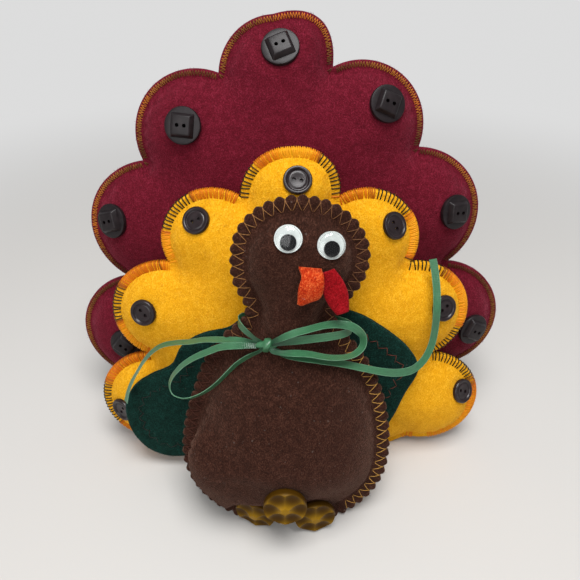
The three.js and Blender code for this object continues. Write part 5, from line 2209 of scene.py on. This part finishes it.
@dataclass
class Ribbon:
    """Narrow satin ribbon tied round the neck in a bow."""

    placement: Matrix
    width: float = 3.2
    thick: float = 0.35
    columns: int = 9
    knot_reach: float = 4.6
    gather: float = 13.0
    band_inset: float = 0.25
    band_gap: float = 0.4
    ahead: tuple[float, float, float] = (0.0, -1.0, 0.6)

    def strip(self, path: Array, facing: Array, ends: Sequence[int]) -> Mesh:
        """Flat ribbon along a path.

        Args:
            path: Points of its middle line in millimetres.
            facing: Direction its face turns to at each point.
            ends: Which ends, 0 and -1, are gathered at the knot.

        Returns:
            The closed mesh, in metres, with weave directions and the mask of painted shade at the knot as
            attributes.
        """
        heading = unit(np.gradient(path, axis=0))
        across = unit(np.cross(heading, facing))
        out = np.cross(across, heading)
        share = np.linspace(-1, 1, self.columns)
        bulge = np.where(np.abs(share) > 0.9, 0.7, 1.0) * self.thick / 2
        step = lengths_along(path)
        half = np.full(len(path), self.width / 2)
        for end in ends:
            half *= 0.5 + 0.5 * smoothstep(np.abs(step - step[end]), 0.0, self.gather)
        middle = path[:, None] + across[:, None] * (half[:, None] * share)[..., None]
        cup = 0.12 * share**2
        mesh = sheet_mesh(*(middle + out[:, None] * (face * bulge + cup)[:, None] for face in (1, -1)))
        put_values(mesh, "across", np.tile(np.abs(share), 2 * len(path)))
        # The stored narrowing mask is 1 where the ribbon narrows into the knot and 0 along the free ribbon;
        # it paints shade there.
        for name, values in (("along", step), ("pinch", 2 - 4 * half / self.width)):
            put_values(mesh, name, np.tile(np.repeat(values, self.columns), 2))
        return shade_by_angle(mesh)

    def knot_middle(self) -> Array:
        """Middle of the knot's solid, in millimetres."""
        low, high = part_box("ribbon_knot")
        return np.array((low + high) / 2) / MM

    @staticmethod
    def into_knot(path: Array, knot: Array, ends: Sequence[int]) -> Array:
        """Leads a ribbon's ends into the knot.

        Args:
            path: Points of its middle line.
            knot: Middle of the knot.
            ends: Which ends, 0 and -1, are tied in.

        Returns:
            The longer path.
        """
        for end in ends:
            steps = path[end] + np.array([[0.6], [0.3]]) * (knot - path[end])
            path = np.vstack([steps, path]) if end == 0 else np.vstack([path, steps[::-1]])
        return path

    def free_end(self, end: BowEnd) -> None:
        """One loop or tail of the bow.

        Args:
            end: Its course and its far end.
        """
        knot = self.knot_middle()
        path = smooth_path(np.array(end.route) + knot, 0.8)
        tied = (0,) if end.far_end is FarEnd.BARE else (0, -1)
        drawn = self.into_knot(path, knot, tied)
        heading = unit(np.gradient(drawn, axis=0))
        at = np.linspace(0, 1, len(drawn))
        turn = np.radians(np.interp(at, np.linspace(0, 1, len(end.twists)), end.twists))[:, None]
        ahead = np.array(self.ahead)
        base = unit(ahead - heading * (heading @ ahead)[:, None])
        facing = base * np.cos(turn) + np.cross(heading, base) * np.sin(turn)
        piece = dress(end.name, "satin", self.strip(drawn, facing, tied), SATIN)

    def band(self) -> None:
        """The part that lies round the neck."""
        local = moved(node_points("ribbon_neck_band"), self.placement.inverted())
        low, high = local.min(0), local.max(0)
        half = (high[0] - low[0]) / 2 - self.band_inset
        middle = (high[0] + low[0]) / 2
        knot = moved(self.knot_middle()[None], self.placement.inverted())[0]
        level = high[2] - self.width / 2
        start, stop = (
            2 * math.pi * k - math.acos((knot[0] + side * self.knot_reach) / half)
            for k, side in ((1, 1), (2, -1))
        )
        turns = np.linspace(start, stop, 150)
        x = half * np.cos(turns)
        ahead = np.sin(turns) < 0
        left = (x + half) / (knot[0] + half)
        right = ((half - x) / (half - knot[0])) ** 3
        sag = np.where(ahead, (level - knot[2]) * np.where(x < knot[0], left, right), 0.0)
        deep = np.where(ahead, -low[1], high[1]) - self.band_gap
        path = np.column_stack([middle + x, np.sin(turns) * deep, level - sag])
        path = self.into_knot(path, knot, (0, -1))
        turns = np.pad(turns, 2, "edge")
        facing = np.column_stack([np.cos(turns), np.sin(turns), np.zeros(len(turns))])
        mesh = self.strip(moved(path, self.placement), turned(facing, self.placement), (0, -1))
        dress("ribbon_neck_band", "satin", mesh, SATIN)

    @staticmethod
    def folded(radius: float, x: float, turn: float) -> tuple[float, float, float]:
        """Point of the knot, whose strands fold round each other."""
        r = radius * (1 + 0.07 * math.sin(3 * turn + 0.8 * x) + 0.05 * math.sin(5 * turn - x))
        return x + 0.25 * radius * math.sin(turn), 0.92 * r * math.cos(turn), r * math.sin(turn)

    def knot(self) -> None:
        """The tied knot: a bundle of strands with a turn of ribbon round it."""
        half = (
            (0.0, 2.75), (0.9, 2.65), (1.3, 2.35), (1.45, 1.6), (2.6, 1.3), (3.6, 0.95), (4.2, 0.5),
            (4.3, 0.0),
        )
        profile = [*((radius, -x) for x, radius in half[:0:-1]), *((radius, x) for x, radius in half)]
        mesh = lathe(profile, 36, self.folded)
        mesh.transform(Matrix.Translation(self.knot_middle() * MM))
        # The knot itself gets no painted shade: its masks are all zero.
        for name in ("across", "along", "pinch"):
            put_values(mesh, name, np.zeros(len(mesh.vertices)))
        dress("ribbon_knot", "satin", mesh, SATIN)

    def build(self) -> None:
        """Makes loops, tails, band and knot."""
        for end in BOW:
            self.free_end(end)
        self.band()
        self.knot()


@dataclass
class Studio:
    """Camera, lights and a plain floor, in metres and degrees."""

    eye: tuple[float, float, float] = (0.0, -0.196, 0.224)
    pitch: float = 55.0
    lens: float = 35.3
    floor_half: float = 4.0
    floor_gap: float = 0.0004
    aim: tuple[float, float, float] = (0.0, 0.0, 0.08)
    sky: float = 0.36

    def camera(self) -> None:
        """Sets up the camera of the photograph."""
        data = bpy.data.cameras.new("camera")
        data.sensor_width, data.lens = 36.0, self.lens
        data.clip_start, data.clip_end = 0.01, 20.0
        holder = bpy.data.objects.new("camera", data)
        holder.location = self.eye
        holder.rotation_euler = (math.radians(self.pitch), 0.0, 0.0)
        bpy.context.scene.collection.objects.link(holder)
        bpy.context.scene.camera = holder

    @staticmethod
    def backdrop() -> Material:
        """Pale floor that turns into an even backdrop far from the figure.

        Returns:
            The material.
        """
        material, g, shader = start_material("floor")
        g.fill(shader, {"Base Color": colour(0xC9C6C2), "Roughness": 0.7})
        far = g.add("ShaderNodeVectorMath", {0: g.place()}, operation="LENGTH").outputs["Value"]
        away = g.add(
            "ShaderNodeMapRange", {"Value": far, "From Min": 0.2, "From Max": 0.6},
            interpolation_type="SMOOTHSTEP",
        )
        rays = g.add("ShaderNodeLightPath").outputs
        seen = rays["Is Camera Ray"]
        for kind in ("Is Glossy Ray", "Is Transmission Ray"):
            seen = g.math("MAXIMUM", seen, rays[kind])
        glow = g.add("ShaderNodeEmission", {"Color": (0.72, 0.72, 0.72, 1.0), "Strength": 1.0})
        blend_shaders(g, g.math("MULTIPLY", away.outputs[0], seen), shader, glow)
        return material

    def lamp(self, name: str, place: tuple[float, float, float], size: float, power: float) -> None:
        """One soft lamp that points at the figure.

        Args:
            name: Its name.
            place: Where it hangs.
            size: Side of its square face.
            power: Its power in watts.
        """
        data = bpy.data.lights.new(name, "AREA")
        data.size, data.energy = size, power
        holder = bpy.data.objects.new(name, data)
        holder.location = place
        heading = Vector(self.aim) - Vector(place)
        holder.rotation_euler = heading.to_track_quat("-Z", "Y").to_euler()
        bpy.context.scene.collection.objects.link(holder)

    def build(self) -> None:
        """Sets up the floor and the light."""
        corners = np.array([(-1, -1, 0), (1, -1, 0), (1, 1, 0), (-1, 1, 0)]) * self.floor_half / MM
        floor = new_piece("floor", mesh_from(corners, [(0, 1, 2, 3)]), self.backdrop())
        floor.location.z = -self.floor_gap
        world = bpy.data.worlds.new("studio")
        world.use_nodes = True
        sky = world.node_tree.nodes["Background"].inputs
        sky[0].default_value, sky[1].default_value = (0.94, 0.97, 1.0, 1.0), self.sky
        bpy.context.scene.world = world
        self.lamp("key", (0.05, -0.2, 0.85), 0.45, 7.4)
        self.lamp("fill", (-0.3, -0.8, 0.5), 0.6, 3.0)
        bpy.context.scene.view_settings.view_transform = "Standard"


def main() -> None:
    """Builds every part of the figure in order."""
    logging.basicConfig(level=logging.INFO, format="%(name)s: %(message)s")
    stance, studio = Stance(), Studio()
    studio.camera()
    Ribbon(stance.body()).build()
    lift = SEAM_GAP / 2 + FELT
    rear_edge = Sewing(REAR_THREAD, 1.2, 0.15, zigzag_paths(1.2, 2.9, 0.6, lift + 0.05), REAR_TONES)
    front_edge = Sewing(FRONT_THREAD, 0.85, 0.3, whip_paths(0.35, 3.7, lift), FRONT_TONES, sparse=0.3)
    Tail(
        "rear_tail", stance.rear_tail(), half_width=77.5, half_height=104, centre=67.5, base=52,
        bulges=(0.88, 0.66, 0.71, 1.05), shoulder=4.6, puff=13.5, roll_off=32, felt=BURGUNDY,
        button_radius=7.7, sewing=rear_edge,
    ).build()
    Tail(
        "front_tail", stance.front_tail(), half_width=65, half_height=85, centre=44, base=50,
        bulges=(0.98, 0.76, 0.86, 1.15), shoulder=1.6, puff=11.5, roll_off=30, felt=YELLOW,
        button_radius=5.75, sewing=front_edge,
    ).build()
    Gourd(stance.body()).build()
    for name, points, tone in (("left_wing", LEFT_WING, 0.1), ("right_wing", RIGHT_WING, 1.0)):
        Wing(name, points, stance.front_tail(), tone).build()
    pattern = ButtonPattern()
    ButtonRow(
        "front_tail", stance.front_tail(), (20, -35, 60, 10, -20, 45, -60), pattern.shirt(), SHIRT_PLASTIC
    ).build()
    ButtonRow(
        "rear_tail", stance.rear_tail(), (30, 5, 25, -20, 8, -12, 40), pattern.square(), SQUARE_PLASTIC
    ).build()
    for name in ("left_eye", "right_eye"):
        GooglyEye(name).build()
    Face(stance.body()).build()
    Feet().build()
    studio.build()


if __name__ == "__main__":
    main()
